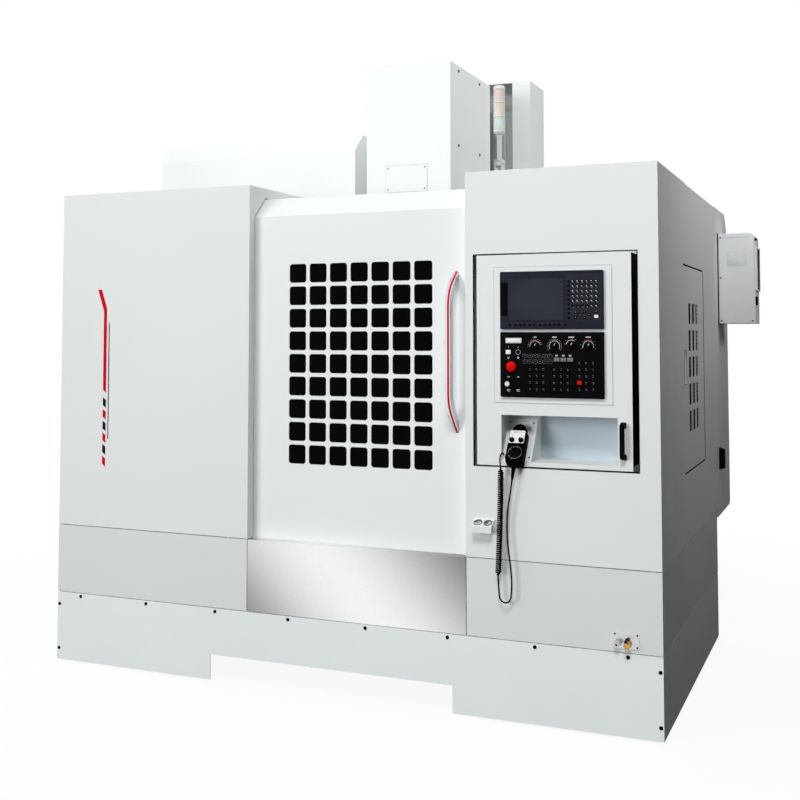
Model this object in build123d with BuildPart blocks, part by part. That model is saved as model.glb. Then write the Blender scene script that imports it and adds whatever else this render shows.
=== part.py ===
from build123d import *
import os
from math import atan2, cos, degrees, pi, radians, sin, tan

# Vertical machining centre in its sheet-metal enclosure. Millimetres, +X to the operator's right,
# -Y towards the operator, +Z up. The origin is on the floor under the middle of the enclosure.

os.makedirs("parts", exist_ok=True)

# Overall sizes
machine_width = 2700
machine_depth = 2100
foot_gap = 10
sheet = 3
seam = 3
fit_gap = 0.5
running_gap = 0.05

# Enclosure bands and columns, from the floor up
skirt_height = 299
band_height = 296
upper_height = 1492
lower_depth = 1550
left_cover_width = 981
right_cover_width = 748
cover_depth = 652
side_return = 262
notch_width = 1090
notch_height = 105

# Sliding door
door_recess = 50
door_chamfer_depth = 90
door_chamfer_rise = 87
door_roof_depth = 270
door_top_drop = 47
door_thickness = 28
door_overlap = 46
door_gap = 6
window_columns = 7
window_rows = 9
window_pitch = 94.6
window_cell = 79
window_corner = 12
window_center_x = 122
window_center_z = 1345
glass_thickness = 8
handle_x = 546
handle_low_z = 1103
handle_high_z = 1695
handle_standoff = 86
handle_width = 24
handle_depth = 34

# Operator console
console_x = 650
console_width = 600
console_z = 966
console_height = 806
console_depth = 180
console_gap_left = 16
console_gap_right = 24
console_gap_z = 6
niche_x = 748
niche_width = 447
niche_z = 983
niche_height = 176
niche_depth = 150
niche_plate_width = 113
niche_plate_rise = 120
inner_plate_x = 721
inner_plate_z = 1206
inner_plate_width = 457
inner_plate_height = 519
unit_x = 749
unit_width = 400
display_z = 1486
display_height = 220
operator_z = 1228
operator_height = 247
unit_thickness = 12

# Base casting, column and moving axes
bed_half_width = 430
bed_front_y = -760
bed_back_y = 1030
bed_z = 60
bed_top = 580
column_half_width = 330
column_front_y = 620
column_top = 2680
rail_width = 45
rail_height = 38
spindle_y = 30
spindle_nose_z = 1660
spindle_radius = 45
table_length = 1200
table_depth = 500
table_thickness = 92
table_top = 950
slot_width = 18
slot_pitch = 100
slot_count = 5
screw_radius = 20
way_gap = 4

# Covers above the roof line
head_cover_half_width = 220
head_cover_front_y = -175
head_cover_back_y = 433
head_cover_low_z = 1790
head_cover_top = 2783
column_cover_half_width = 390
column_cover_front_y = 611
column_cover_back_y = 880
column_cover_top = 2835
column_cover_low = 2160
magazine_left_x = -1510
magazine_right_x = -342
magazine_front_y = -50
magazine_back_y = 470
magazine_low_z = 1640
magazine_top = 2495
magazine_chamfer = 92
drum_center_x = -926
drum_center_z = 2080
pot_circle = 340
pot_radius = 38
pot_length = 90
pot_count = 24

# Electrical cabinet and its cooler
cabinet_left_x = 560
cabinet_front_y = 540
cabinet_low_z = 570
cooler_front_y = 661
cooler_length = 215
cooler_width = 181
cooler_low_z = 1521
cooler_height = 455

# Worked out from the sizes above
half_width = machine_width / 2
front_y = -machine_depth / 2
back_y = machine_depth / 2
skirt_top = foot_gap + skirt_height
band_low = skirt_top + seam
band_top = band_low + band_height
upper_low = band_top + seam
upper_top = upper_low + upper_height
lower_back_y = front_y + lower_depth
opening_left = -half_width + left_cover_width
opening_right = half_width - right_cover_width
return_y = front_y + side_return
cover_back_y = front_y + cover_depth
door_y = front_y + door_recess
door_left = opening_left - door_overlap
door_right = opening_right - door_gap
door_top = upper_top - door_top_drop
door_chamfer_start = door_top - door_chamfer_rise
door_low = band_top - 30


def block(x, y, z, mode=Mode.ADD):
    """Add (or cut) the box that spans x, y and z, each a pair of limits."""
    with Locations(((x[0] + x[1]) / 2, (y[0] + y[1]) / 2, (z[0] + z[1]) / 2)):
        Box(x[1] - x[0], y[1] - y[0], z[1] - z[0], mode=mode)


def rod(start, direction, radius, length, mode=Mode.ADD):
    """Add (or cut) a cylinder that grows from start along direction."""
    with Locations(Plane(origin=start, z_dir=direction)):
        Cylinder(radius, length, align=(Align.CENTER, Align.CENTER, Align.MIN), mode=mode)


def save(part, name):
    """Label a finished piece and write it to its own STEP file."""
    part.label = name
    export_step(part, f"parts/{name}.step")


# Bed: one casting with anchor lugs at the corners, way seats on top and a hollow under the table
anchor_inset = 30
anchor_radius = 13
foot_radius = 60
foot_screw_radius = 12
foot_pad_height = 20
foot_rows = (-620, 150, 890)
way_x = 260
way_seat_z = 40
bed_wall = 60
bed_corner = 30
anchor_depth = 120
ways_front_y = -560
saddle_low = bed_top + way_seat_z + rail_height + way_gap
y_screw_z = saddle_low - 40
motor_half_width = 65
with BuildPart() as bed:
    block((-bed_half_width, bed_half_width), (bed_front_y, bed_back_y), (bed_z, bed_top))
    fillet(bed.edges().filter_by(Axis.Z), radius=bed_corner)
    block((-bed_half_width + bed_wall, bed_half_width - bed_wall),
          (bed_front_y + bed_wall, column_front_y - bed_wall), (bed_z - 1, bed_top - bed_wall),
          Mode.SUBTRACT)
    block((-way_x + 70, way_x - 70), (bed_front_y + bed_wall, column_front_y - bed_wall),
          (bed_top - bed_wall - 1, bed_top + 1), Mode.SUBTRACT)
    for side in (-1, 1):
        block((side * way_x - 40, side * way_x + 40), (ways_front_y, column_front_y - 40),
              (bed_top, bed_top + way_seat_z))
        block((side * way_x - rail_width / 2, side * way_x + rail_width / 2),
              (ways_front_y, column_front_y - 40),
              (bed_top + way_seat_z, bed_top + way_seat_z + rail_height))
    block((-motor_half_width, motor_half_width), (bed_front_y + 10, ways_front_y - 70),
          (bed_top, bed_top + 107))
    block((-40, 40), (column_front_y - bed_wall - 5, column_front_y - bed_wall + 20),
          (bed_top - 20, y_screw_z + 30))
    rod((0, column_front_y - bed_wall - 6, y_screw_z), (0, 1, 0), screw_radius + running_gap, 40,
        Mode.SUBTRACT)
    for side in (-1, 1):
        for y in (bed_front_y + anchor_inset, bed_back_y - anchor_inset):
            rod((side * (bed_half_width - anchor_inset), y, bed_z - 1), (0, 0, 1), anchor_radius,
                anchor_depth + 1,
                Mode.SUBTRACT)
save(bed.part, "bed")

with BuildPart() as levelling_feet:
    for side in (-1, 1):
        for foot_y in foot_rows:
            with BuildSketch(Plane.XY):
                with Locations((side * (bed_half_width - bed_wall / 2), foot_y)):
                    Circle(foot_radius)
            extrude(amount=foot_pad_height)
            rod((side * (bed_half_width - bed_wall / 2), foot_y, foot_pad_height), (0, 0, 1),
                foot_screw_radius, bed_z - foot_pad_height)
save(levelling_feet.part, "levelling_feet")

# Column: tapered hollow casting that carries the vertical ways, with core windows in its back
column_base_back = bed_back_y
column_top_back = column_front_y + 250
column_wall = 50
column_front_wall = 80
column_bend = (bed_top + 300, 1900)
core_half_width = 170
core_windows = ((760, 1180), (1360, 1760), (1940, 2100))
z_way_x = 230
z_way_low = 1080
z_way_high = 2640
z_screw_y = column_front_y - 40
z_screw_z = (1100, 2600)
with BuildPart() as column:
    with BuildSketch(Plane.YZ.offset(-column_half_width)):
        with BuildLine():
            Polyline((column_front_y, bed_top), (column_base_back, bed_top),
                     (column_base_back, column_bend[0]),
                     (column_top_back, column_bend[1]), (column_top_back, column_top),
                     (column_front_y, column_top),
                     close=True)
        make_face()
    extrude(amount=2 * column_half_width)
    with BuildSketch(Plane.YZ.offset(-column_half_width + column_wall)):
        with BuildLine():
            Polyline((column_front_y + column_front_wall, bed_top + 60),
                     (column_base_back - column_wall, bed_top + 60),
                     (column_base_back - column_wall, column_bend[0]),
                     (column_top_back - column_wall, column_bend[1]),
                     (column_top_back - column_wall, column_top - 60),
                     (column_front_y + column_front_wall, column_top - 60), close=True)
        make_face()
    extrude(amount=2 * (column_half_width - column_wall), mode=Mode.SUBTRACT)
    for window_low, window_high in core_windows:
        block((-core_half_width, core_half_width),
              (column_top_back - column_wall - 1, column_base_back + 1),
              (window_low, window_high), Mode.SUBTRACT)
    for side in (-1, 1):
        block((side * z_way_x - rail_width / 2, side * z_way_x + rail_width / 2),
              (column_front_y - rail_height, column_front_y), (z_way_low, z_way_high))
    block((-motor_half_width, motor_half_width), (z_screw_y - motor_half_width, column_front_y + 1),
          (z_screw_z[1] + 10, column_top + 110))
save(column.part, "column")

# Base skirt: welded ring of panels round the bed, notched at the front
skirt_flange = 30
bed_clear = 20
with BuildPart() as base_skirt:
    block((-half_width, half_width), (front_y, lower_back_y), (foot_gap, skirt_top))
    block((-half_width + sheet, half_width - sheet), (front_y + sheet, lower_back_y - sheet),
          (foot_gap - 1, skirt_top - sheet), Mode.SUBTRACT)
    block((-half_width + skirt_flange, half_width - skirt_flange),
          (front_y + skirt_flange, lower_back_y - skirt_flange),
          (skirt_top - sheet - 1, skirt_top + 1), Mode.SUBTRACT)
    block((-notch_width / 2, notch_width / 2), (front_y - 1, front_y + sheet + 1),
          (foot_gap - 1, foot_gap + notch_height), Mode.SUBTRACT)
    block((-bed_half_width - bed_clear, bed_half_width + bed_clear),
          (lower_back_y - skirt_flange - 1, lower_back_y + 1),
          (foot_gap - 1, skirt_top + 1), Mode.SUBTRACT)
save(base_skirt.part, "base_skirt")

# Button-head screws of the front skirt, eight along the top edge and one low at each end
screw_head_radius = 7
screw_head_height = 4
screw_count = 8
screw_margin = 126.75
screw_pitch = (2 * half_width - 2 * screw_margin) / (screw_count - 1)
screw_row_z = skirt_top - 13
screw_low_z = foot_gap + 50
screw_side_z = skirt_top - 54
screw_places = [(-half_width + screw_margin + i * screw_pitch, screw_row_z) for i in range(screw_count)]
screw_places += [(side * (half_width - 11), z) for side in (-1, 1) for z in (screw_low_z, screw_side_z)]
with BuildPart() as skirt_screws:
    for x, z in screw_places:
        with BuildSketch(Plane.XZ.offset(-front_y)):
            with Locations((x, z)):
                Circle(screw_head_radius)
        extrude(amount=screw_head_height, taper=20)
save(skirt_screws.part, "skirt_screws")

# Lower band: left and right corner panels and the bright kick panel between them
ledge = door_recess - 6
band_back_x = bed_half_width + 20
service_hole_radius = 14
service_x = (1188, 1226)
service_z = 345
for side, name in ((-1, "lower_band_left"), (1, "lower_band_right")):
    inner_x = opening_left if side < 0 else opening_right
    outer_x = side * half_width
    span = sorted((inner_x + side * seam / 2, outer_x))
    core = sorted((inner_x + side * (seam / 2 + sheet), outer_x - side * sheet))
    with BuildPart() as lower_band:
        block(span, (front_y, lower_back_y), (band_low, band_top))
        block(core, (front_y + sheet, lower_back_y - sheet), (band_low - 1, band_top + 1), Mode.SUBTRACT)
        block(sorted((inner_x - side, inner_x + side * (seam / 2 + sheet + 1))),
              (front_y + ledge, lower_back_y - sheet), (band_low - 1, band_top + 1), Mode.SUBTRACT)
        block(sorted((inner_x - side, side * max(band_back_x, abs(inner_x) + 2 * sheet))),
              (lower_back_y - sheet - 1, lower_back_y + 1), (band_low - 1, band_top + 1), Mode.SUBTRACT)
        if side > 0:
            for x in service_x:
                rod((x, front_y - 1, service_z), (0, 1, 0), service_hole_radius, sheet + 2, Mode.SUBTRACT)
    save(lower_band.part, name)

with BuildPart() as kick_panel:
    with BuildSketch(Plane.YZ.offset(opening_left + seam / 2)):
        with BuildLine():
            Polyline((front_y, band_low), (front_y, band_top), (front_y + ledge, band_top),
                     (front_y + ledge, band_top - sheet), (front_y + sheet, band_top - sheet),
                     (front_y + sheet, band_low + sheet), (front_y + skirt_flange, band_low + sheet),
                     (front_y + skirt_flange, band_low), close=True)
        make_face()
    extrude(amount=opening_right - opening_left - seam)
save(kick_panel.part, "kick_panel")

# Left front cover: folded box that the sliding door runs into through a slot in its side plate
slot_clear = 5
with BuildPart() as left_cover:
    block((-half_width, opening_left), (front_y, cover_back_y), (upper_low, upper_top))
    block((-half_width + sheet, opening_left - sheet), (front_y + sheet, cover_back_y + 1),
          (upper_low - 1, upper_top - sheet), Mode.SUBTRACT)
    block((-half_width - 1, -half_width + sheet + 1), (return_y, cover_back_y + 1),
          (upper_low - 1, upper_top - sheet), Mode.SUBTRACT)
    with BuildSketch(Plane.YZ.offset(opening_left - sheet - 1)):
        with BuildLine():
            Polyline((door_y - slot_clear, upper_low - 1),
                     (door_y - slot_clear, door_chamfer_start + slot_clear),
                     (door_y + door_chamfer_depth - slot_clear, door_top + slot_clear),
                     (cover_back_y + 1, door_top + slot_clear), (cover_back_y + 1, upper_low - 1),
                     close=True)
        make_face()
    extrude(amount=sheet + 2, mode=Mode.SUBTRACT)
save(left_cover.part, "left_cover")

# Right front cover: folded box with the console opening
door_side_depth = 490
console_open_x = (console_x - console_gap_left, console_x + console_width + console_gap_right)
console_open_z = (console_z - console_gap_z, console_z + console_height + console_gap_z)
with BuildPart() as right_cover:
    block((opening_right, half_width), (front_y, cover_back_y), (upper_low, upper_top))
    block((opening_right + sheet, half_width - sheet), (front_y + sheet, cover_back_y + 1),
          (upper_low - 1, upper_top - sheet), Mode.SUBTRACT)
    block((half_width - sheet - 1, half_width + 1), (return_y, cover_back_y + 1),
          (upper_low - 1, upper_top - sheet), Mode.SUBTRACT)
    block((opening_right - 1, opening_right + sheet + 1), (front_y + door_side_depth, cover_back_y + 1),
          (upper_low - 1, upper_top - sheet), Mode.SUBTRACT)
    block(console_open_x, (front_y - 1, front_y + sheet + 1), console_open_z, Mode.SUBTRACT)
save(right_cover.part, "right_cover")

# Side panels, from the front covers back to the electrical cabinet
access_y = (front_y + 580, front_y + 1164)
access_z = (900, 1752)
access_gap = 8
side_top = upper_top - sheet - fit_gap
side_span_y = (return_y + seam, cabinet_front_y - seam)
side_flange = 35
with BuildPart() as right_side_panel:
    block((half_width - side_flange, half_width), side_span_y, (upper_low, side_top))
    block((half_width - side_flange - 1, half_width - sheet),
          (side_span_y[0] + sheet, side_span_y[1] - sheet),
          (upper_low + sheet, side_top - sheet), Mode.SUBTRACT)
    block((half_width - sheet - 1, half_width + 1), (access_y[0] - sheet, access_y[1] + sheet),
          (access_z[0] - access_gap, access_z[1] + access_gap), Mode.SUBTRACT)
save(right_side_panel.part, "right_side_panel")

rear_wall_x = -column_half_width - 12
rear_wall_y = column_front_y - 20
frame_window_z = (drum_center_z - 75, drum_center_z + 75)
with BuildPart() as left_side_panel:
    block((-half_width, rear_wall_x), (side_span_y[0], rear_wall_y), (upper_low, side_top))
    block((-half_width + sheet, rear_wall_x + 1), (side_span_y[0] - 1, rear_wall_y - sheet),
          (upper_low - 1, side_top + 1), Mode.SUBTRACT)
    block((-half_width - 1, -half_width + sheet + 1), (magazine_front_y - seam, magazine_back_y + seam),
          (magazine_low_z - seam, side_top + 1), Mode.SUBTRACT)
    block((rear_wall_x - 75, rear_wall_x + 1), (rear_wall_y - sheet - 1, rear_wall_y + 1), frame_window_z,
          Mode.SUBTRACT)
save(left_side_panel.part, "left_side_panel")

# Side access door with five rows of three vents and a recessed latch
vent_rows = (1555, 1440, 1328, 1213, 1100)
vent_columns = (front_y + 745, front_y + 848, front_y + 949)
vent_height = 88
vent_width = 66
vent_corner = 5
latch_y = front_y + 612
latch_z = 1331
latch_size = (46, 140)
access_frame = 22
with BuildPart() as access_door:
    block((half_width - access_frame, half_width), access_y, access_z)
    block((half_width - access_frame - 1, half_width - sheet), (access_y[0] + sheet, access_y[1] - sheet),
          (access_z[0] + sheet, access_z[1] - sheet), Mode.SUBTRACT)
    with BuildSketch(Plane.YZ.offset(half_width - sheet - 1)):
        with Locations(*[(y, z) for y in vent_columns for z in vent_rows]):
            RectangleRounded(vent_width, vent_height, vent_corner)
        with Locations((latch_y, latch_z)):
            Rectangle(*latch_size)
    extrude(amount=sheet + 2, mode=Mode.SUBTRACT)
    with BuildSketch(Plane.YZ.offset(half_width - access_frame)):
        with Locations((latch_y, latch_z)):
            Rectangle(latch_size[0] + 2 * sheet, latch_size[1] + 2 * sheet)
    extrude(amount=access_frame - sheet)
    with BuildSketch(Plane.YZ.offset(half_width - access_frame + sheet)):
        with Locations((latch_y, latch_z)):
            Rectangle(*latch_size)
    extrude(amount=access_frame, mode=Mode.SUBTRACT)
save(access_door.part, "access_door")

# Sliding door: folded sheet with a sloped upper edge, a roof strip and a grid of punched windows
door_outline = ((door_y, door_low), (door_y, door_chamfer_start), (door_y + door_chamfer_depth, door_top),
                (door_y + door_chamfer_depth + door_roof_depth, door_top))
rail_y = door_y + door_chamfer_depth + door_roof_depth - 60
door_rail_depth = 40
door_rail_height = 30
roller_radius = 10
rail_top = door_top - door_thickness - 2 * roller_radius - 4
window_width = window_columns * window_pitch
window_height = window_rows * window_pitch
with BuildPart() as main_door:
    with BuildSketch(Plane.YZ.offset(door_left)):
        with BuildLine():
            Polyline(*door_outline)
            offset(amount=sheet, side=Side.RIGHT)
        make_face()
    extrude(amount=door_right - door_left)
    for x in (door_left, door_right - sheet):
        with BuildSketch(Plane.YZ.offset(x)):
            with BuildLine():
                Polyline(*door_outline)
                offset(amount=door_thickness, side=Side.RIGHT)
            make_face()
        extrude(amount=sheet)
    block((door_left, door_right), (door_y, door_y + door_thickness), (door_low, door_low + sheet))
    for x in (door_left + 120, door_right - 120):
        rod((x, rail_y + 5, rail_top + roller_radius + fit_gap), (0, 1, 0), roller_radius,
            door_rail_depth - 10)
        block((x - 12, x + 12), (rail_y + 5, rail_y + door_rail_depth - 5),
              (rail_top + roller_radius, door_top - sheet))
    with BuildSketch(Plane.XZ.offset(-door_y + 1)):
        with Locations((window_center_x, window_center_z)):
            with GridLocations(window_pitch, window_pitch, window_columns, window_rows):
                RectangleRounded(window_cell, window_cell, window_corner)
    extrude(amount=-sheet - 2, mode=Mode.SUBTRACT)
save(main_door.part, "main_door")

glass_y = door_y + sheet
with BuildPart() as window_glass:
    with BuildSketch(Plane.XZ.offset(-glass_y)):
        with Locations((window_center_x, window_center_z)):
            RectangleRounded(window_width + 20, window_height + 20, window_corner)
    extrude(amount=-glass_thickness)
save(window_glass.part, "window_glass")

# Pull handle of the door: a deep flat bar with slanting ends
handle_y = door_y - handle_standoff
handle_low_leg = 94
handle_high_leg = 71
handle_bend = 45
handle_root = 16
root_low_z = handle_low_z - handle_root * handle_low_leg / handle_standoff
root_high_z = handle_high_z + handle_root * handle_high_leg / handle_standoff
with BuildPart() as door_handle:
    with BuildLine() as handle_path:
        FilletPolyline((handle_x, door_y + handle_root, root_low_z),
                       (handle_x, handle_y, handle_low_z + handle_low_leg),
                       (handle_x, handle_y, handle_high_z - handle_high_leg),
                       (handle_x, door_y + handle_root, root_high_z), radius=handle_bend)
    with BuildSketch(Plane(origin=handle_path.line @ 0, x_dir=(1, 0, 0), z_dir=handle_path.line % 0)):
        RectangleRounded(handle_width, handle_depth, 9)
    sweep(path=handle_path.line)
    block((handle_x - handle_width, handle_x + handle_width), (door_y, door_y + 60),
          (handle_low_z - 80, handle_high_z + 80), Mode.SUBTRACT)
save(door_handle.part, "door_handle")

# Rail that the door's rollers run on, across the opening and inside the left cover
with BuildPart() as door_rail:
    block((-half_width + 2 * sheet, opening_right), (rail_y, rail_y + door_rail_depth),
          (rail_top - door_rail_height, rail_top))
save(door_rail.part, "door_rail")

# Console: welded box with the front plate, the raised instrument frame and the niche for the handwheel
console_right = console_x + console_width
console_top = console_z + console_height
console_front_y = front_y - 3
box_margin = 25
box_span_x = (console_x + 18, console_right - box_margin)
niche_span_x = (niche_x, niche_x + niche_width)
niche_span_z = (niche_z, niche_z + niche_height)
niche_plate_y = (console_front_y, console_front_y + niche_plate_rise)
plate_tilt = degrees(atan2(niche_plate_rise, niche_height))
divider_x = niche_x + niche_plate_width
handle_clear = 28
pull_x = console_right - 34
pull_z = (1006, 1144)
pull_size = 20
anchor_along = 22
anchor_x = 756
anchor_length = 10
up_plate = (0, sin(radians(plate_tilt)), cos(radians(plate_tilt)))
off_plate = (0, -cos(radians(plate_tilt)), sin(radians(plate_tilt)))
anchor_start = Vector(anchor_x, niche_plate_y[0] + anchor_along * up_plate[1],
                      niche_z + anchor_along * up_plate[2])
with BuildPart() as console:
    block((console_x, console_right), (console_front_y, front_y), (console_z, console_top))
    block(box_span_x, (front_y, front_y + console_depth), (console_z + 8, console_top - 8))
    block((box_span_x[0] + sheet, box_span_x[1] - sheet), (front_y, front_y + console_depth - sheet),
          (console_z + 8 + sheet, console_top - 8 - sheet), Mode.SUBTRACT)
    block((inner_plate_x, inner_plate_x + inner_plate_width), (console_front_y - 1.5, console_front_y),
          (inner_plate_z, inner_plate_z + inner_plate_height))
    for z, height in ((operator_z, operator_height), (display_z, display_height)):
        block((unit_x + 10 - fit_gap, unit_x + unit_width - 10 + fit_gap),
              (console_front_y - 2, front_y + 1),
              (z + 10 - fit_gap, z + height - 10 + fit_gap), Mode.SUBTRACT)
    block((niche_span_x[0] - sheet, niche_span_x[1] + sheet), (front_y, front_y + niche_depth + sheet),
          (niche_span_z[0] - sheet, niche_span_z[1] + sheet))
    block(niche_span_x, (console_front_y - 1, front_y + niche_depth), niche_span_z, Mode.SUBTRACT)
    with BuildSketch(Plane.YZ.offset(niche_x)):
        with BuildLine():
            Polyline((niche_plate_y[0], niche_z), (niche_plate_y[1], niche_span_z[1]),
                     (niche_plate_y[1] + sheet + 1, niche_span_z[1]),
                     (niche_plate_y[0] + sheet + 1, niche_z),
                     close=True)
        make_face()
    extrude(amount=niche_plate_width)
    with BuildSketch(Plane.YZ.offset(divider_x)):
        with BuildLine():
            Polyline((niche_plate_y[0], niche_z), (niche_plate_y[1], niche_span_z[1]),
                     (front_y + niche_depth, niche_span_z[1]), (front_y + niche_depth, niche_z),
                     close=True)
        make_face()
    extrude(amount=sheet)
    with BuildSketch(Plane(origin=anchor_start, z_dir=off_plate)):
        Circle(5.5)
    extrude(amount=anchor_length)
save(console.part, "console")

# Bridge pull at the free edge of the console
with BuildPart() as console_handle:
    with BuildSketch(Plane.YZ.offset(pull_x)):
        with BuildLine():
            Polyline((console_front_y, pull_z[0]), (console_front_y - handle_clear - 8, pull_z[0] + 8),
                     (console_front_y - handle_clear - 8, pull_z[1] - 8), (console_front_y, pull_z[1]),
                     (console_front_y, pull_z[1] - 18), (console_front_y - handle_clear, pull_z[1] - 24),
                     (console_front_y - handle_clear, pull_z[0] + 24), (console_front_y, pull_z[0] + 18),
                     close=True)
        make_face()
    extrude(amount=pull_size / 2, both=True)
    fillet(console_handle.edges().filter_by(Axis.X).group_by(Axis.Y)[0], radius=7)
save(console_handle.part, "console_handle")

# Display unit: bezel with the screen window, card doors, soft keys and the letter keys
unit_front_y = console_front_y - 1.5 - unit_thickness
unit_back_y = console_front_y - 1.5
screen_x = (unit_x + 36, unit_x + 262)
screen_z = (display_z + 34, display_z + 196)
key_rise = 2.5
screen_thickness = 4
with BuildPart() as display_unit:
    block((unit_x, unit_x + unit_width), (unit_front_y, unit_back_y),
          (display_z, display_z + display_height))
    block((unit_x + 10, unit_x + unit_width - 10), (unit_back_y, front_y + 60),
          (display_z + 10, display_z + display_height - 10))
    fillet(display_unit.edges().filter_by(Axis.Y).group_by(Axis.Y)[0], radius=3)
    block(screen_x, (unit_front_y - 1, unit_front_y + screen_thickness), screen_z, Mode.SUBTRACT)
    with BuildSketch(Plane.XZ.offset(-unit_front_y)):
        with Locations((unit_x + 15, display_z + 117)):
            RectangleRounded(26, 92, 2)
        with Locations((unit_x + 15, display_z + 68)):
            RectangleRounded(26, 34, 2)
        with Locations((unit_x + 145, display_z + 16)):
            with GridLocations(19, 1, 12, 1):
                RectangleRounded(10, 8, 1.5)
        with Locations((unit_x + 266, display_z + 115)):
            with GridLocations(1, 20, 1, 8):
                RectangleRounded(8, 9, 1.5)
        with Locations((unit_x + 328, display_z + 146)):
            with GridLocations(18, 19, 6, 6):
                RectangleRounded(12, 11, 1.5)
        with Locations((unit_x + 318, display_z + 62)):
            with GridLocations(18, 12, 4, 2):
                RectangleRounded(12, 8, 1.5)
    extrude(amount=key_rise)
save(display_unit.part, "display_unit")

with BuildPart() as display_screen:
    block((screen_x[0] + 0.2, screen_x[1] - 0.2), (unit_front_y + 0.5, unit_front_y + screen_thickness),
          (screen_z[0] + 0.2, screen_z[1] - 0.2))
save(display_screen.part, "display_screen")

# Operator panel: slab with blocks of keys, the round start key and bores for the stems of its controls
stem_radius = 6
stop_place = (796, 1344)
start_place = (778, 1277)
selector_places = {"mode_selector": (887, 1422), "feed_selector": (962, 1422),
                   "rapid_selector": (1027, 1425), "spindle_selector": (1091, 1422)}
stem_places = [stop_place, *selector_places.values()]
stem_depth = 9
with BuildPart() as operator_panel:
    block((unit_x, unit_x + unit_width), (unit_front_y, unit_back_y),
          (operator_z, operator_z + operator_height))
    block((unit_x + 10, unit_x + unit_width - 10), (unit_back_y, front_y + 60),
          (operator_z + 10, operator_z + operator_height - 10))
    fillet(operator_panel.edges().filter_by(Axis.Y).group_by(Axis.Y)[0], radius=3)
    with BuildSketch(Plane.XZ.offset(-unit_front_y)):
        with Locations((unit_x + 144, operator_z + 72)):
            with GridLocations(26, 25, 3, 4):
                RectangleRounded(19, 17, 2)
        with Locations((unit_x + 239, operator_z + 72)):
            with GridLocations(26, 25, 3, 4):
                RectangleRounded(19, 17, 2)
        with Locations((unit_x + 333, operator_z + 84)):
            with GridLocations(27, 25, 3, 5):
                RectangleRounded(19, 17, 2)
        with Locations((unit_x + 144, operator_z + 145)):
            with GridLocations(20, 22, 6, 2):
                RectangleRounded(15, 14, 2)
        with Locations((unit_x + 243, operator_z + 151)):
            RectangleRounded(76, 22, 2)
        with Locations((unit_x + 53, operator_z + 216)):
            Rectangle(62, 20)
        with Locations((unit_x + 31, operator_z + 171)):
            RectangleRounded(20, 18, 2)
        with Locations((unit_x + 68, operator_z + 171)):
            Circle(9)
        with Locations((unit_x + 68, operator_z + 50)):
            RectangleRounded(20, 18, 2)
    extrude(amount=key_rise)
    with BuildSketch(Plane.XZ.offset(-unit_front_y)):
        with Locations(start_place):
            Circle(12)
    extrude(amount=7)
    for x, z in stem_places:
        rod((x, unit_front_y - 1, z), (0, 1, 0), stem_radius, stem_depth + 1, Mode.SUBTRACT)
save(operator_panel.part, "operator_panel")

# Push controls and rotary selectors, each with its stem in its own bore
stop_radius = 20
stop_travel = 5
with BuildPart() as stop_button:
    rod((stop_place[0], unit_front_y - stop_travel - 1, stop_place[1]), (0, 1, 0),
        stem_radius - running_gap, stem_depth)
    with BuildSketch(Plane.XZ.offset(-unit_front_y + stop_travel + 1)):
        with Locations(stop_place):
            Circle(stop_radius)
    extrude(amount=14)
    fillet(stop_button.edges().group_by(Axis.Y)[0], radius=5)
save(stop_button.part, "stop_button")

selector_radius = 14
selector_height = 16
for name, place in selector_places.items():
    with BuildPart() as selector:
        rod((place[0], unit_front_y - 1, place[1]), (0, 1, 0), stem_radius - running_gap, stem_depth)
        with BuildSketch(Plane.XZ.offset(-unit_front_y + 1)):
            with Locations(place):
                Circle(selector_radius)
        extrude(amount=5)
        with BuildSketch(Plane.XZ.offset(-unit_front_y + 6)):
            with Locations(place):
                SlotOverall(2 * selector_radius - 2, 10, rotation=55)
        extrude(amount=selector_height - 5)
    save(selector.part, name)

# Handwheel pendant on the sloping plate of the niche
pendant_x = 806
pendant_along = 60
pendant_length = 176
pendant_width = 70
pendant_thickness = 32
pendant_origin = (pendant_x, niche_plate_y[0] + pendant_along * up_plate[1],
                  niche_z + pendant_along * up_plate[2])
pendant_plane = Plane(origin=pendant_origin, x_dir=(1, 0, 0), z_dir=off_plate)
dial_place = (2, -43)
dial_radius = 30
knob_places = {"axis_knob": (-20, 13.5), "step_knob": (16, 13.5)}
knob_radius = 10
pin_radius = 4
pin_depth = 8
pendant_gap = 0.8
with BuildPart() as handwheel_body:
    with BuildSketch(pendant_plane.offset(pendant_gap)):
        RectangleRounded(pendant_width, pendant_length, 24)
    extrude(amount=pendant_thickness)
    fillet(handwheel_body.faces().sort_by(Axis((0, 0, 0), off_plate))[-1].edges(), radius=5)
    with BuildSketch(pendant_plane.offset(pendant_gap + pendant_thickness)):
        with Locations((-3, 29)):
            RectangleRounded(61, 54, 4)
    extrude(amount=1)
    with BuildSketch(pendant_plane.offset(pendant_gap + pendant_thickness - pin_depth)):
        with Locations(dial_place, *knob_places.values()):
            Circle(pin_radius)
    extrude(amount=pin_depth + 2, mode=Mode.SUBTRACT)
save(handwheel_body.part, "handwheel_body")

with BuildPart() as handwheel_dial:
    with BuildSketch(pendant_plane.offset(pendant_gap + pendant_thickness - pin_depth + 1)):
        with Locations(dial_place):
            Circle(pin_radius - running_gap)
    extrude(amount=pin_depth)
    with BuildSketch(pendant_plane.offset(pendant_gap + pendant_thickness + fit_gap)):
        with Locations(dial_place):
            Circle(dial_radius)
    extrude(amount=9)
    with BuildSketch(pendant_plane.offset(pendant_gap + pendant_thickness + fit_gap + 9)):
        with Locations((dial_place[0] + 17, dial_place[1] + 8)):
            Circle(5)
    extrude(amount=10)
save(handwheel_dial.part, "handwheel_dial")

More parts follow.
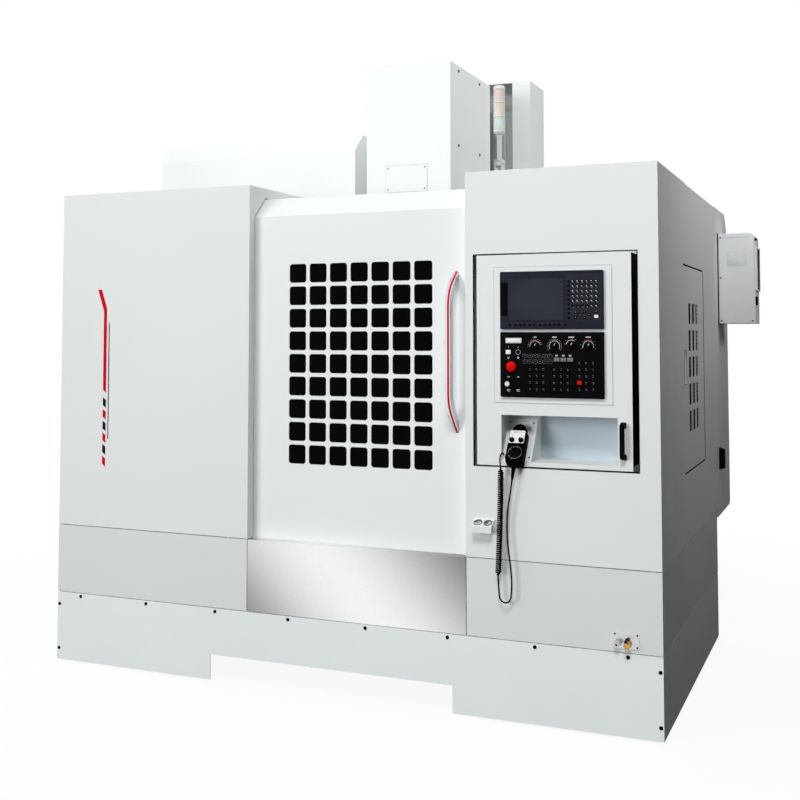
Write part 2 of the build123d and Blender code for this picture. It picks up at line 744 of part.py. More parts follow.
for name, place in knob_places.items():
    with BuildPart() as knob:
        with BuildSketch(pendant_plane.offset(pendant_gap + pendant_thickness - pin_depth + 1)):
            with Locations(place):
                Circle(pin_radius - running_gap)
        extrude(amount=pin_depth + 2)
        with BuildSketch(pendant_plane.offset(pendant_gap + pendant_thickness + 1 + fit_gap)):
            with Locations(place):
                Circle(knob_radius)
        extrude(amount=13)
    save(knob.part, name)

# Strain relief at the pendant's lower end
cord_radius = 3
gland_length = 54
relief_start = (Vector(*pendant_origin) - Vector(*up_plate) * (pendant_length / 2)
                + Vector(*off_plate) * (pendant_gap + 16))
relief_aim = Vector(-0.14, -0.04, -1).normalized()
with BuildPart() as handwheel_gland:
    with BuildSketch(Plane(origin=relief_start + relief_aim * 7, z_dir=relief_aim)):
        Circle(8.5)
    with BuildSketch(Plane(origin=relief_start + relief_aim * gland_length, z_dir=relief_aim)):
        Circle(4.8)
    loft()
    with BuildSketch(Plane(origin=relief_start, z_dir=(0, -up_plate[1], -up_plate[2]))):
        Circle(9)
    extrude(amount=8)
save(handwheel_gland.part, "handwheel_gland")

# The pendant's cord: a short run out of the niche, a curly stretch, and a plain tail up to the pendant
coil_radius = 11.5
cord_y = front_y - 30
coil_top = Vector(753, cord_y, 957)
coil_low = Vector(741, cord_y, 556)
head_route = [anchor_start + Vector(*off_plate) * anchor_length, anchor_start + Vector(*off_plate) * 28,
              Vector(756, front_y - 36, 1013), Vector(754, front_y - 46, 994), coil_top]
relief_tip = relief_start + relief_aim * gland_length
tail_route = [coil_low, Vector(742, cord_y, 527), Vector(744, cord_y, 498), Vector(746, cord_y, 471),
              Vector(759, cord_y - 1, 457), Vector(778, cord_y - 2, 456), Vector(791, cord_y - 2, 470),
              Vector(793, cord_y - 1, 497), Vector(795, cord_y, 528), Vector(793, cord_y, 562),
              Vector(789, cord_y, 602), Vector(783, cord_y, 644), Vector(778, cord_y, 690),
              Vector(776, cord_y, 738), Vector(778, cord_y - 1, 786), Vector(784, cord_y - 3, 828),
              Vector(792, cord_y - 4, 866), relief_tip + relief_aim * 22, relief_tip]


def bend_radii(route):
    """Bend radius at each inner point: 0.45 of the shorter run over the tangent of half the turn."""
    radii = []
    for before, here, after in zip(route, route[1:], route[2:]):
        turn = radians((here - before).get_angle(after - here))
        radii.append(0.45 * min((here - before).length, (after - here).length) / tan(turn / 2))
    return radii


for name, route in (("cord_head", head_route), ("cord_tail", tail_route)):
    radii = bend_radii(route)
    print(name, "bend radii", [round(radius) for radius in radii])
    with BuildPart() as cord:
        with BuildLine() as cord_path:
            FilletPolyline(*route, radius=radii)
        with BuildSketch(Plane(origin=route[0], z_dir=route[1] - route[0])):
            Circle(cord_radius)
        sweep(path=cord_path.line)
    route_length = sum(edge.length for edge in cord_path.edges())
    print(name, "length", round(route_length), "volume over section times length",
          round(cord.part.volume / (pi * cord_radius ** 2 * route_length), 3))
    save(cord.part, name)

with BuildPart() as curly_cord:
    with BuildSketch(Plane(origin=coil_top, z_dir=coil_low - coil_top)):
        Circle(coil_radius)
    extrude(amount=(coil_low - coil_top).length)
save(curly_cord.part, "curly_cord")

# Holder for the air and coolant guns: folded plate with two round holes in its sloping face
holder_x = (638, 718)
holder_z = (712, 760)
holder_reach = 42
holder_lip = 24
holder_hole_radius = 16
holder_wall = 2.5
holder_slope = degrees(atan2(holder_z[1] - holder_z[0] - holder_lip, holder_reach))
with BuildPart() as gun_holder:
    with BuildSketch(Plane.YZ.offset(holder_x[0])):
        with BuildLine():
            Polyline((front_y, holder_z[0]), (front_y, holder_z[1]),
                     (front_y - holder_reach, holder_z[0] + holder_lip),
                     (front_y - holder_reach, holder_z[0]),
                     (front_y - holder_reach + holder_wall, holder_z[0]),
                     (front_y - holder_reach + holder_wall, holder_z[0] + holder_lip - 1),
                     (front_y - holder_wall, holder_z[1] - 4), (front_y - holder_wall, holder_z[0]),
                     close=True)
        make_face()
    extrude(amount=holder_x[1] - holder_x[0])
    slope_mid = (sum(holder_x) / 2, front_y - holder_reach / 2,
                 (holder_z[1] + holder_z[0] + holder_lip) / 2)
    slope_plane = Plane(origin=slope_mid, x_dir=(1, 0, 0),
                        z_dir=(0, -sin(radians(holder_slope)), cos(radians(holder_slope))))
    with BuildSketch(slope_plane.offset(-8)):
        with GridLocations(40, 1, 2, 1):
            Circle(holder_hole_radius)
    extrude(amount=20, mode=Mode.SUBTRACT)
save(gun_holder.part, "gun_holder")

# Service plate with a quick coupler and a small ball valve
service_plate_size = (96, 58)
service_plate_z = 355
service_plate_x = 1217
plate_screws = (82, 44)
coupler_reach = 34
valve_ball = 13
lever_z = service_z + 17
lever_pin = 3
with BuildPart() as service_plate:
    with BuildSketch(Plane.XZ.offset(-front_y)):
        with Locations((service_plate_x, service_plate_z)):
            RectangleRounded(*service_plate_size, 3)
    extrude(amount=2)
    with BuildSketch(Plane.XZ.offset(-front_y + 2)):
        with Locations((service_plate_x, service_plate_z)):
            with GridLocations(*plate_screws, 2, 2):
                Circle(3.5)
    extrude(amount=2)
    rod((service_x[0], front_y - 2, service_z), (0, -1, 0), 11, 14)
    rod((service_x[0], front_y - 16, service_z), (0, -1, 0), 13, 12)
    rod((service_x[0], front_y - 28, service_z), (0, -1, 0), 8, coupler_reach - 28)
    rod((service_x[0], front_y - coupler_reach - 1, service_z), (0, 1, 0), 4, 22, Mode.SUBTRACT)
    rod((service_x[1], front_y - 2, service_z), (0, -1, 0), 10, 12)
    with Locations((service_x[1], front_y - 22, service_z)):
        Sphere(valve_ball)
    rod((service_x[1], front_y - 22, service_z), (0, -1, 0), 10, 20)
    rod((service_x[1], front_y - 22, service_z), (0, 0, 1), 7, lever_z - service_z)
    rod((service_x[1], front_y - 22, lever_z), (0, 0, 1), lever_pin, 7)
    rod((service_x[1], front_y - 43, service_z), (0, 1, 0), 6, 16, Mode.SUBTRACT)
save(service_plate.part, "service_plate")

with BuildPart() as valve_lever:
    with BuildSketch(Plane.XY.offset(lever_z + fit_gap)):
        with Locations((service_x[1], front_y - 22)):
            Circle(8)
        with Locations((service_x[1], front_y - 42)):
            RectangleRounded(10, 42, 4)
        with Locations((service_x[1], front_y - 22)):
            Circle(lever_pin + running_gap, mode=Mode.SUBTRACT)
    extrude(amount=5)
save(valve_lever.part, "valve_lever")

# Electrical cabinet: overhanging box at the right rear, open at the back for its door
cabinet_edge = 15
cabinet_door_y = back_y
with BuildPart() as electrical_cabinet:
    with BuildSketch(Plane.YZ.offset(cabinet_left_x)):
        with BuildLine():
            Polyline((cabinet_front_y, cabinet_low_z), (back_y - 20, cabinet_low_z),
                     (back_y, cabinet_low_z + 20),
                     (back_y, upper_top - 70), (back_y - 75, upper_top), (cabinet_front_y, upper_top),
                     close=True)
        make_face()
    extrude(amount=half_width - cabinet_left_x)
    block((cabinet_left_x + sheet, half_width - sheet), (cabinet_front_y + sheet, back_y - 24),
          (cabinet_low_z + sheet, upper_top - 76), Mode.SUBTRACT)
    block((cabinet_left_x + cabinet_edge, half_width - cabinet_edge), (back_y - 25, back_y + 1),
          (cabinet_low_z + 60, upper_top - 110), Mode.SUBTRACT)
    block((-rear_wall_x, cabinet_left_x), (rear_wall_y - sheet, rear_wall_y),
          (upper_low, upper_top - 100))
save(electrical_cabinet.part, "electrical_cabinet")

cabinet_door_clear = 4
cabinet_door_x = (cabinet_left_x + cabinet_edge + cabinet_door_clear,
                  half_width - cabinet_edge - cabinet_door_clear)
cabinet_door_z = (cabinet_low_z + 60 + cabinet_door_clear, upper_top - 110 - cabinet_door_clear)
switch_place = (cabinet_door_x[0] + 90, 1420)
switch_shaft = 6
with BuildPart() as cabinet_door:
    block(cabinet_door_x, (cabinet_door_y - 20, cabinet_door_y), cabinet_door_z)
    block((cabinet_door_x[0] + sheet, cabinet_door_x[1] - sheet),
          (cabinet_door_y - 21, cabinet_door_y - sheet),
          (cabinet_door_z[0] + sheet, cabinet_door_z[1] - sheet), Mode.SUBTRACT)
    with BuildSketch(Plane.XZ.offset(-cabinet_door_y)):
        with Locations(switch_place):
            Rectangle(70, 70)
    extrude(amount=10)
    rod((switch_place[0], cabinet_door_y - 20, switch_place[1]), (0, 1, 0), switch_shaft, 22,
        Mode.SUBTRACT)
save(cabinet_door.part, "cabinet_door")

with BuildPart() as main_switch:
    rod((switch_place[0], cabinet_door_y - 9, switch_place[1]), (0, 1, 0), switch_shaft - running_gap, 10)
    with BuildSketch(Plane.XZ.offset(-cabinet_door_y - 1)):
        with Locations(switch_place):
            Circle(30)
    extrude(amount=-8)
    with BuildSketch(Plane.XZ.offset(-cabinet_door_y - 9)):
        with Locations(switch_place):
            SlotOverall(58, 18, rotation=90)
    extrude(amount=-22)
save(main_switch.part, "main_switch")

# Pull handle of the cabinet's lower side cover, closed towards the front and open behind
side_handle_y = (613, 653)
side_handle_z = (795, 903)
side_handle_reach = 29
side_handle_wall = 7
side_handle_end = 14
with BuildPart() as cabinet_handle:
    with BuildSketch(Plane.XZ.offset(-side_handle_y[0])):
        with BuildLine():
            Polyline((half_width, side_handle_z[0]),
                     (half_width + side_handle_reach, side_handle_z[0] + 8),
                     (half_width + side_handle_reach, side_handle_z[1] - 8),
                     (half_width, side_handle_z[1]), close=True)
        make_face()
    extrude(amount=side_handle_y[0] - side_handle_y[1])
    block((half_width - 1, half_width + side_handle_reach - side_handle_wall),
          (side_handle_y[0] + side_handle_wall, side_handle_y[1] + 1),
          (side_handle_z[0] + side_handle_end, side_handle_z[1] - side_handle_end), Mode.SUBTRACT)
save(cabinet_handle.part, "cabinet_handle")

# Cabinet cooler: box on the cabinet's side with a raised fan grille on its outer face
cooler_span_y = (cooler_front_y, cooler_front_y + cooler_length)
cooler_top = cooler_low_z + cooler_height
grille_rise = 10
plug_z = (cooler_low_z + 92, cooler_low_z + 136)
grille_slats = 14
grille_z = (cooler_top - 290, cooler_top - 70)
grille_y = (cooler_span_y[0] + 30, cooler_span_y[1] - 30)
with BuildPart() as cabinet_cooler:
    block((half_width, half_width + cooler_width), cooler_span_y, (cooler_low_z, cooler_top))
    chamfer(cabinet_cooler.edges().filter_by(Axis.Y).group_by(Axis.X)[-1].sort_by(Axis.Z)[-1], length=18)
    block((half_width + cooler_width - 1, half_width + cooler_width + grille_rise), grille_y, grille_z)
    slat_pitch = (grille_z[1] - grille_z[0] - 20) / grille_slats
    for i in range(grille_slats):
        slat_z = grille_z[0] + 10 + slat_pitch * (i + 0.5)
        block((half_width + cooler_width + 2, half_width + cooler_width + grille_rise + 1),
              (grille_y[0] + 10, grille_y[1] - 10),
              (slat_z - slat_pitch * 0.28, slat_z + slat_pitch * 0.28),
              Mode.SUBTRACT)
    block((half_width + cooler_width, half_width + cooler_width + 12),
          (cooler_span_y[0] + 8, cooler_span_y[0] + 34),
          plug_z)
save(cabinet_cooler.part, "cabinet_cooler")

# Table with its T-slots, carried on the saddle
slot_depth = 32
slot_foot_width = 30
slot_foot_height = 13
table_y = (spindle_y - table_depth / 2, spindle_y + table_depth / 2)
x_way_offset = 170
saddle_top = table_top - table_thickness - rail_height - way_gap
x_screw_z = saddle_top + 14
x_screw_radius = 12
x_screw_reach = table_length / 2 - 10
x_bearing = 25
nut_half = 60
with BuildPart() as table:
    block((-table_length / 2, table_length / 2), table_y, (table_top - table_thickness, table_top))
    with BuildSketch(Plane.YZ.offset(-table_length / 2 - 1)):
        with Locations((spindle_y, table_top - slot_depth / 2 + 0.5)):
            with GridLocations(slot_pitch, 1, slot_count, 1):
                Rectangle(slot_width, slot_depth + 1)
        with Locations((spindle_y, table_top - slot_depth + slot_foot_height / 2)):
            with GridLocations(slot_pitch, 1, slot_count, 1):
                Rectangle(slot_foot_width, slot_foot_height)
    extrude(amount=table_length + 2, mode=Mode.SUBTRACT)
    for side in (-1, 1):
        way_y = spindle_y + side * x_way_offset
        block((-table_length / 2 + 20, table_length / 2 - 20),
              (way_y - rail_width / 2, way_y + rail_width / 2),
              (table_top - table_thickness - rail_height, table_top - table_thickness))
    block((-nut_half, nut_half), (spindle_y - 28, spindle_y + 28),
          (x_screw_z - 24, table_top - table_thickness))
    rod((-nut_half - 1, spindle_y, x_screw_z), (1, 0, 0), x_screw_radius + fit_gap, 2 * nut_half + 2,
        Mode.SUBTRACT)
save(table.part, "table")

# Saddle: cross slide between the bed's ways and the table's ways
saddle_half_length = 420
saddle_inset = 20
saddle_y = (table_y[0] + saddle_inset, table_y[1] - saddle_inset)
block_height = 30
nut_radius = 36
with BuildPart() as saddle:
    block((-saddle_half_length, saddle_half_length), saddle_y, (saddle_low, saddle_top - 40))
    for side in (-1, 1):
        way_y = spindle_y + side * x_way_offset
        block((-saddle_half_length, saddle_half_length), (way_y - 50, way_y + 50),
              (saddle_top - 40, saddle_top))
        for lip in (-1, 1):
            near = rail_width / 2 + fit_gap
            block((-saddle_half_length + 30, saddle_half_length - 30),
                  sorted((way_y + lip * near, way_y + lip * (near + 18))),
                  (saddle_top, saddle_top + block_height))
            block(sorted((side * way_x + lip * near, side * way_x + lip * (near + 18))),
                  (saddle_y[0] + 20, saddle_y[1] - 20), (saddle_low - block_height, saddle_low))
    block((-nut_radius, nut_radius), (saddle_y[0] + 150, saddle_y[0] + 250),
          (y_screw_z - nut_radius, saddle_low))
    rod((0, saddle_y[0] + 149, y_screw_z), (0, 1, 0), screw_radius + fit_gap, 102, Mode.SUBTRACT)
    for side in (-1, 1):
        block(sorted((side * (saddle_half_length - 2), side * (x_screw_reach + 10))),
              (spindle_y - 30, spindle_y + 30),
              (saddle_low + 20, saddle_top - 45))
        block(sorted((side * (x_screw_reach + 10 - x_bearing), side * (x_screw_reach + 10))),
              (spindle_y - 28, spindle_y + 28), (saddle_top - 46, x_screw_z + 16))
    rod((-x_screw_reach - 20, spindle_y, x_screw_z), (1, 0, 0), x_screw_radius + running_gap,
        2 * x_screw_reach + 40,
        Mode.SUBTRACT)
    block((saddle_half_length - 1, saddle_half_length + 140), (spindle_y + 35, spindle_y + 145),
          (saddle_low + 8, saddle_top - 45))
save(saddle.part, "saddle")

# Ball screws of the three axes
y_screw_y = (ways_front_y - 70 + fit_gap, column_front_y - bed_wall + 15)
with BuildPart() as y_screw:
    rod((0, y_screw_y[0], y_screw_z), (0, 1, 0), screw_radius, y_screw_y[1] - y_screw_y[0])
save(y_screw.part, "y_screw")

with BuildPart() as x_screw:
    rod((-x_screw_reach, spindle_y, x_screw_z), (1, 0, 0), x_screw_radius, 2 * x_screw_reach)
save(x_screw.part, "x_screw")

with BuildPart() as z_screw:
    rod((0, z_screw_y, z_screw_z[0]), (0, 0, 1), screw_radius, z_screw_z[1] - z_screw_z[0])
save(z_screw.part, "z_screw")

# Head: casting on the column's ways, with the spindle bore down its nose
head_half_width = 165
head_front_y = spindle_y - 150
head_low_z = spindle_nose_z + 62
head_top_z = 2330
z_nut_drop = 380
z_nut_length = 130
z_nut = (head_top_z - z_nut_drop, head_top_z - z_nut_drop + z_nut_length)
head_plate_half = 290
nut_pocket_half = 60
nut_body_half = 48
head_plate_y = (column_front_y - rail_height - 70, column_front_y - rail_height - way_gap)
with BuildPart() as head_casting:
    block((-head_half_width, head_half_width), (head_front_y, head_plate_y[0]), (head_low_z, head_top_z))
    block((-head_plate_half, head_plate_half), head_plate_y, (head_low_z + 20, head_top_z))
    for side in (-1, 1):
        for lip in (-1, 1):
            near = rail_width / 2 + fit_gap
            block(sorted((side * z_way_x + lip * near, side * z_way_x + lip * (near + 18))),
                  (head_plate_y[1], head_plate_y[1] + block_height), (head_low_z + 60, head_top_z - 40))
    block((-nut_pocket_half, nut_pocket_half), (head_plate_y[1] - nut_pocket_half, head_plate_y[1] + 1),
          (head_low_z, head_top_z + 1),
          Mode.SUBTRACT)
    block((-nut_body_half, nut_body_half), (head_plate_y[0], z_screw_y + 34), z_nut)
    rod((0, z_screw_y, z_nut[0] - 10), (0, 0, 1), screw_radius + fit_gap, z_nut[1] - z_nut[0] + 20,
        Mode.SUBTRACT)
    rod((0, spindle_y, head_low_z - 1), (0, 0, 1), spindle_radius + running_gap,
        head_top_z - head_low_z + 2,
        Mode.SUBTRACT)
save(head_casting.part, "head_casting")

# Spindle: taper at the nose, drawbar bore above it
taper_gauge_radius = 22.2
taper_depth = 65
taper_end_radius = 13
drawbar_radius = 9
spindle_flange_radius = 64
spindle_top = head_top_z + 50
with BuildPart() as spindle:
    rod((0, spindle_y, spindle_nose_z), (0, 0, 1), spindle_flange_radius, 60)
    rod((0, spindle_y, spindle_nose_z + 60), (0, 0, 1), spindle_radius, spindle_top - spindle_nose_z - 60)
    with BuildSketch(Plane.XY.offset(spindle_nose_z)):
        with Locations((0, spindle_y)):
            Circle(taper_gauge_radius)
    with BuildSketch(Plane.XY.offset(spindle_nose_z + taper_depth)):
        with Locations((0, spindle_y)):
            Circle(taper_end_radius)
    loft(mode=Mode.SUBTRACT)
    rod((0, spindle_y, spindle_nose_z + taper_depth - 1), (0, 0, 1), drawbar_radius, 400, Mode.SUBTRACT)
    for side in (-1, 1):
        block(sorted((side * 26, side * 42)), (spindle_y - 8, spindle_y + 8),
              (spindle_nose_z - 10, spindle_nose_z + 1))
save(spindle.part, "spindle")

# Spindle motor on its stand above the head
motor_half = 115
stand_height = 90
motor_top = head_cover_top - 60
with BuildPart() as spindle_motor:
    block((-motor_half, motor_half), (spindle_y - motor_half, spindle_y + motor_half),
          (head_top_z, head_top_z + stand_height))
    rod((0, spindle_y, head_top_z - 1), (0, 0, 1), motor_half - 25, stand_height - 11, Mode.SUBTRACT)
    with BuildSketch(Plane.XY.offset(head_top_z + stand_height)):
        with Locations((0, spindle_y)):
            RectangleRounded(2 * motor_half - 20, 2 * motor_half - 20, 30)
    extrude(amount=motor_top - head_top_z - stand_height)
save(spindle_motor.part, "spindle_motor")

# Head cover: sheet casing round the head, open below and towards the column
panel_x = 216
panel_z = (2159, 2289)
cover_screw_y = (head_cover_front_y + 117, head_cover_back_y - 174)
cover_screw_z = (head_cover_top - 394, head_cover_top - 27)
cover_tab_z = (head_cover_low_z + 110, head_cover_low_z + 410)
cover_tab_height = 60
with BuildPart() as head_cover:
    block((-head_cover_half_width, head_cover_half_width), (head_cover_front_y, head_cover_back_y),
          (head_cover_low_z, head_cover_top))
    block((-head_cover_half_width + sheet, head_cover_half_width - sheet),
          (head_cover_front_y + sheet, head_cover_back_y + 1),
          (head_cover_low_z - 1, head_cover_top - sheet),
          Mode.SUBTRACT)
    with BuildSketch(Plane.XZ.offset(-head_cover_front_y)):
        with Locations((-8, (panel_z[0] + panel_z[1]) / 2)):
            RectangleRounded(panel_x, panel_z[1] - panel_z[0], 4)
    extrude(amount=2)
    for y in cover_screw_y:
        for z in cover_screw_z:
            rod((head_cover_half_width, y, z), (1, 0, 0), 6, 3)
    for side in (-1, 1):
        for z in cover_tab_z:
            block(sorted((side * head_half_width, side * (head_cover_half_width - 1))),
                  (head_cover_back_y - 53, head_cover_back_y - 33), (z, z + cover_tab_height))
save(head_cover.part, "head_cover")

with BuildPart() as column_cover:
    block((-column_cover_half_width, column_cover_half_width),
          (column_cover_front_y, column_cover_back_y),
          (column_cover_low, column_cover_top))
    block((-column_cover_half_width + sheet, column_cover_half_width - sheet),
          (column_cover_front_y - 1, column_cover_back_y - sheet),
          (column_cover_low - 1, column_cover_top - sheet),
          Mode.SUBTRACT)
    for side in (-1, 1):
        block(sorted((side * (z_way_x + 60), side * column_cover_half_width)),
              (column_cover_front_y, column_cover_front_y + sheet), (column_cover_low, column_cover_top))
    for side in (-1, 1):
        block(sorted((side * column_half_width, side * (column_cover_half_width - 1))),
              (column_front_y + 80, column_front_y + 100),
              (column_cover_low + 140, column_cover_low + 180))
save(column_cover.part, "column_cover")

# Tool magazine: cover, frame on the column's side, drum of pots, lifting shaft and double-ended arm
with BuildPart() as magazine_cover:
    with BuildSketch(Plane.YZ.offset(magazine_left_x)):
        with BuildLine():
            Polyline((magazine_front_y, magazine_low_z),
                     (magazine_front_y, magazine_top - magazine_chamfer),
                     (magazine_front_y + magazine_chamfer, magazine_top), (magazine_back_y, magazine_top),
                     (magazine_back_y, magazine_low_z), close=True)
        make_face()
    extrude(amount=magazine_right_x - magazine_left_x)
    with BuildSketch(Plane.YZ.offset(magazine_left_x + sheet)):
        with BuildLine():
            Polyline((magazine_front_y + sheet, magazine_low_z - 1),
                     (magazine_front_y + sheet, magazine_top - magazine_chamfer - 1),
                     (magazine_front_y + magazine_chamfer + 1, magazine_top - sheet),
                     (magazine_back_y - sheet, magazine_top - sheet),
                     (magazine_back_y - sheet, magazine_low_z - 1),
                     close=True)
        make_face()
    extrude(amount=magazine_right_x - magazine_left_x - 2 * sheet, mode=Mode.SUBTRACT)
    block((magazine_right_x - 70, magazine_right_x + 1), (magazine_back_y - 170, magazine_back_y + 1),
          (magazine_low_z - 1, magazine_top - 200), Mode.SUBTRACT)
save(magazine_cover.part, "magazine_cover")

arm_x = drum_center_x / 2
arm_z = spindle_nose_z - 62
arm_thickness = 36
arm_shaft_radius = 35
drum_y = (160, 210)
pot_front_y = drum_y[0] - pot_length
drum_shaft_radius = 40
frame_low = 1760
frame_plate_y = (330, 360)
frame_beam_half = 60
frame_beam_back = 440
with BuildPart() as magazine_frame:
    block((drum_center_x - 110, magazine_right_x - sheet - 4), frame_plate_y,
          (drum_center_z - 200, drum_center_z + 160))
    block((magazine_right_x - 150, -column_half_width), (frame_plate_y[0], frame_beam_back),
          (drum_center_z - frame_beam_half, drum_center_z + frame_beam_half))
    block((-column_half_width - frame_beam_half, -column_half_width),
          (frame_plate_y[0], column_front_y + 100),
          (drum_center_z - frame_beam_half, drum_center_z + frame_beam_half))
    block((arm_x - 78, arm_x + 50), (spindle_y - 70, frame_plate_y[0] + 1), (frame_low, frame_low + 240))
    for x in (drum_center_x - 110, arm_x):
        block((x, x + frame_beam_half), (frame_plate_y[1] - 1, magazine_back_y - sheet),
              (drum_center_z + 100, drum_center_z + 160))
    rod((arm_x, spindle_y, frame_low - 1), (0, 0, 1), arm_shaft_radius + running_gap, 300, Mode.SUBTRACT)
    rod((drum_center_x, frame_plate_y[0] + 1, drum_center_z), (0, -1, 0), drum_shaft_radius - running_gap,
        frame_plate_y[0] + 1 - drum_y[0])
save(magazine_frame.part, "magazine_frame")

with BuildPart() as magazine_drum:
    with BuildSketch(Plane.XZ.offset(-drum_y[1])):
        with Locations((drum_center_x, drum_center_z)):
            Circle(pot_circle + pot_radius - 3)
            Circle(drum_shaft_radius, mode=Mode.SUBTRACT)
    extrude(amount=drum_y[1] - drum_y[0])
    with BuildSketch(Plane.XZ.offset(-drum_y[0])):
        with Locations((drum_center_x, drum_center_z)):
            with PolarLocations(pot_circle, pot_count):
                Circle(pot_radius)
                Circle(taper_gauge_radius, mode=Mode.SUBTRACT)
    extrude(amount=drum_y[0] - pot_front_y)
save(magazine_drum.part, "magazine_drum")

arm_reach = abs(arm_x)
grip_radius = 33
with BuildPart() as tool_arm:
    with BuildSketch(Plane.XY.offset(arm_z - arm_thickness)):
        with Locations((arm_x, spindle_y)):
            Circle(75)
            Rectangle(90, 2 * arm_reach)
            with Locations((0, arm_reach), (0, -arm_reach)):
                Circle(grip_radius + 19)
        with Locations((arm_x, spindle_y + arm_reach), (arm_x, spindle_y - arm_reach)):
            Circle(grip_radius, mode=Mode.SUBTRACT)
        with Locations((arm_x + 40, spindle_y + arm_reach), (arm_x - 40, spindle_y - arm_reach)):
            Rectangle(80, 2 * grip_radius - 12, mode=Mode.SUBTRACT)
    extrude(amount=arm_thickness)
    with BuildSketch(Plane.XY.offset(arm_z - arm_thickness)):
        with Locations((arm_x, spindle_y)):
            Circle(arm_shaft_radius + running_gap)
    extrude(amount=arm_thickness, mode=Mode.SUBTRACT)
save(tool_arm.part, "tool_arm")

with BuildPart() as arm_shaft:
    rod((arm_x, spindle_y, arm_z - arm_thickness - 8), (0, 0, 1), arm_shaft_radius,
        frame_low + 208 - arm_z)
    rod((arm_x, spindle_y, arm_z - arm_thickness - 8), (0, 0, 1), 60, 8 - fit_gap)
save(arm_shaft.part, "arm_shaft")

# Folding signal lamp on the right front cover
lamp_x = 665
lamp_y = -800
lamp_radius = 24
neck_radius = 10
pivot_z = upper_top + 63
lamp_low_z = pivot_z + 150
lamp_top_z = lamp_low_z + 176
lamp_stack = (lamp_top_z - lamp_low_z) / 3
with BuildPart() as lamp_bracket:
    block((lamp_x - 28, lamp_x + 28), (lamp_y - 28, lamp_y + 28), (upper_top, upper_top + 5))
    for side in (-1, 1):
        block(sorted((lamp_x + side * 12, lamp_x + side * 17)), (lamp_y - 16, lamp_y + 16),
              (upper_top, pivot_z + 18))
    rod((lamp_x - 22, lamp_y, pivot_z), (1, 0, 0), 5, 44)
save(lamp_bracket.part, "lamp_bracket")

with BuildPart() as signal_lamp:
    block((lamp_x - 11, lamp_x + 11), (lamp_y - 11, lamp_y + 11), (pivot_z - 14, pivot_z + 30))
    rod((lamp_x, lamp_y, pivot_z + 20), (0, 0, 1), neck_radius, lamp_low_z - pivot_z - 20)
    rod((lamp_x, lamp_y, lamp_low_z - 16), (0, 0, 1), lamp_radius, 16)
    for i in range(3):
        rod((lamp_x, lamp_y, lamp_low_z + i * lamp_stack), (0, 0, 1), lamp_radius - 1, lamp_stack - 3)
        rod((lamp_x, lamp_y, lamp_low_z + (i + 1) * lamp_stack - 3), (0, 0, 1), lamp_radius, 3)
    rod((lamp_x - 20, lamp_y, pivot_z), (1, 0, 0), 5 + running_gap, 40, Mode.SUBTRACT)
save(signal_lamp.part, "signal_lamp")
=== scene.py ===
"""Dress the vertical machining centre: finishes, fittings, the handwheel's cord, light and camera."""

import logging
import math
from collections.abc import Sequence
from dataclasses import dataclass
from enum import Enum
from typing import Self

import bmesh
import bpy
from mathutils import Matrix, Vector


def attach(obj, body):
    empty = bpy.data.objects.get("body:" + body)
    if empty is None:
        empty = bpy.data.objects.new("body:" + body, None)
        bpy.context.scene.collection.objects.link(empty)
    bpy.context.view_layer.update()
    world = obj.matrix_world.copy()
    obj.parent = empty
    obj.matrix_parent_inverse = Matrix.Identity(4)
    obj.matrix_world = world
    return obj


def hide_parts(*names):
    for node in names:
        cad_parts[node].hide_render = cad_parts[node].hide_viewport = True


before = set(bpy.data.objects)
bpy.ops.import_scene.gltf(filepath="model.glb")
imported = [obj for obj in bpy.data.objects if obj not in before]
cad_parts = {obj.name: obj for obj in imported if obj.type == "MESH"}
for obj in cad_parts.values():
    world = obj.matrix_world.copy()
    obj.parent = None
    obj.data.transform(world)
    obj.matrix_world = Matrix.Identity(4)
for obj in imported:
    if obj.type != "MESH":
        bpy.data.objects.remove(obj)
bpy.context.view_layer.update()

log = logging.getLogger("machining_centre")

Point = tuple[float, float]
Triple = tuple[float, float, float]
Color = tuple[float, float, float, float]
Socket = bpy.types.NodeSocket

FRONT_Y = -1050.0
CONSOLE_Y = FRONT_Y - 3.0
PANEL_DEPTH = 13
PANEL_Y = CONSOLE_Y - PANEL_DEPTH
UNIT_Y = CONSOLE_Y - 13.5
NICHE_Z = 983
UP_SLOPE: Triple = (0, 0.563, 0.826)
OFF_SLOPE: Triple = (0, -0.826, 0.563)
PENDANT_X = 806
PENDANT_ALONG = 60
GLAND_DOWN = 88
GLAND_OFF = 16.8
GLAND_LENGTH = 54
CREASE = math.radians(32.0)
HERE: Point = (0, 0)
WHITE: Color = (1.0, 1.0, 1.0, 1.0)


def shade(color: Color, factor: float) -> Color:
    """Darken or lighten a colour by a factor, as far as white."""
    return tuple(min(1.0, c * factor) for c in color[:3]) + (1.0,)


class Grain(Enum):
    """Direction in which a metal was brushed or turned, as the stretch of its noise."""

    ALONG_X = (0.02, 1.0, 1.0)
    ALONG_Z = (1.0, 1.0, 0.02)
    NONE = (1.0, 1.0, 1.0)


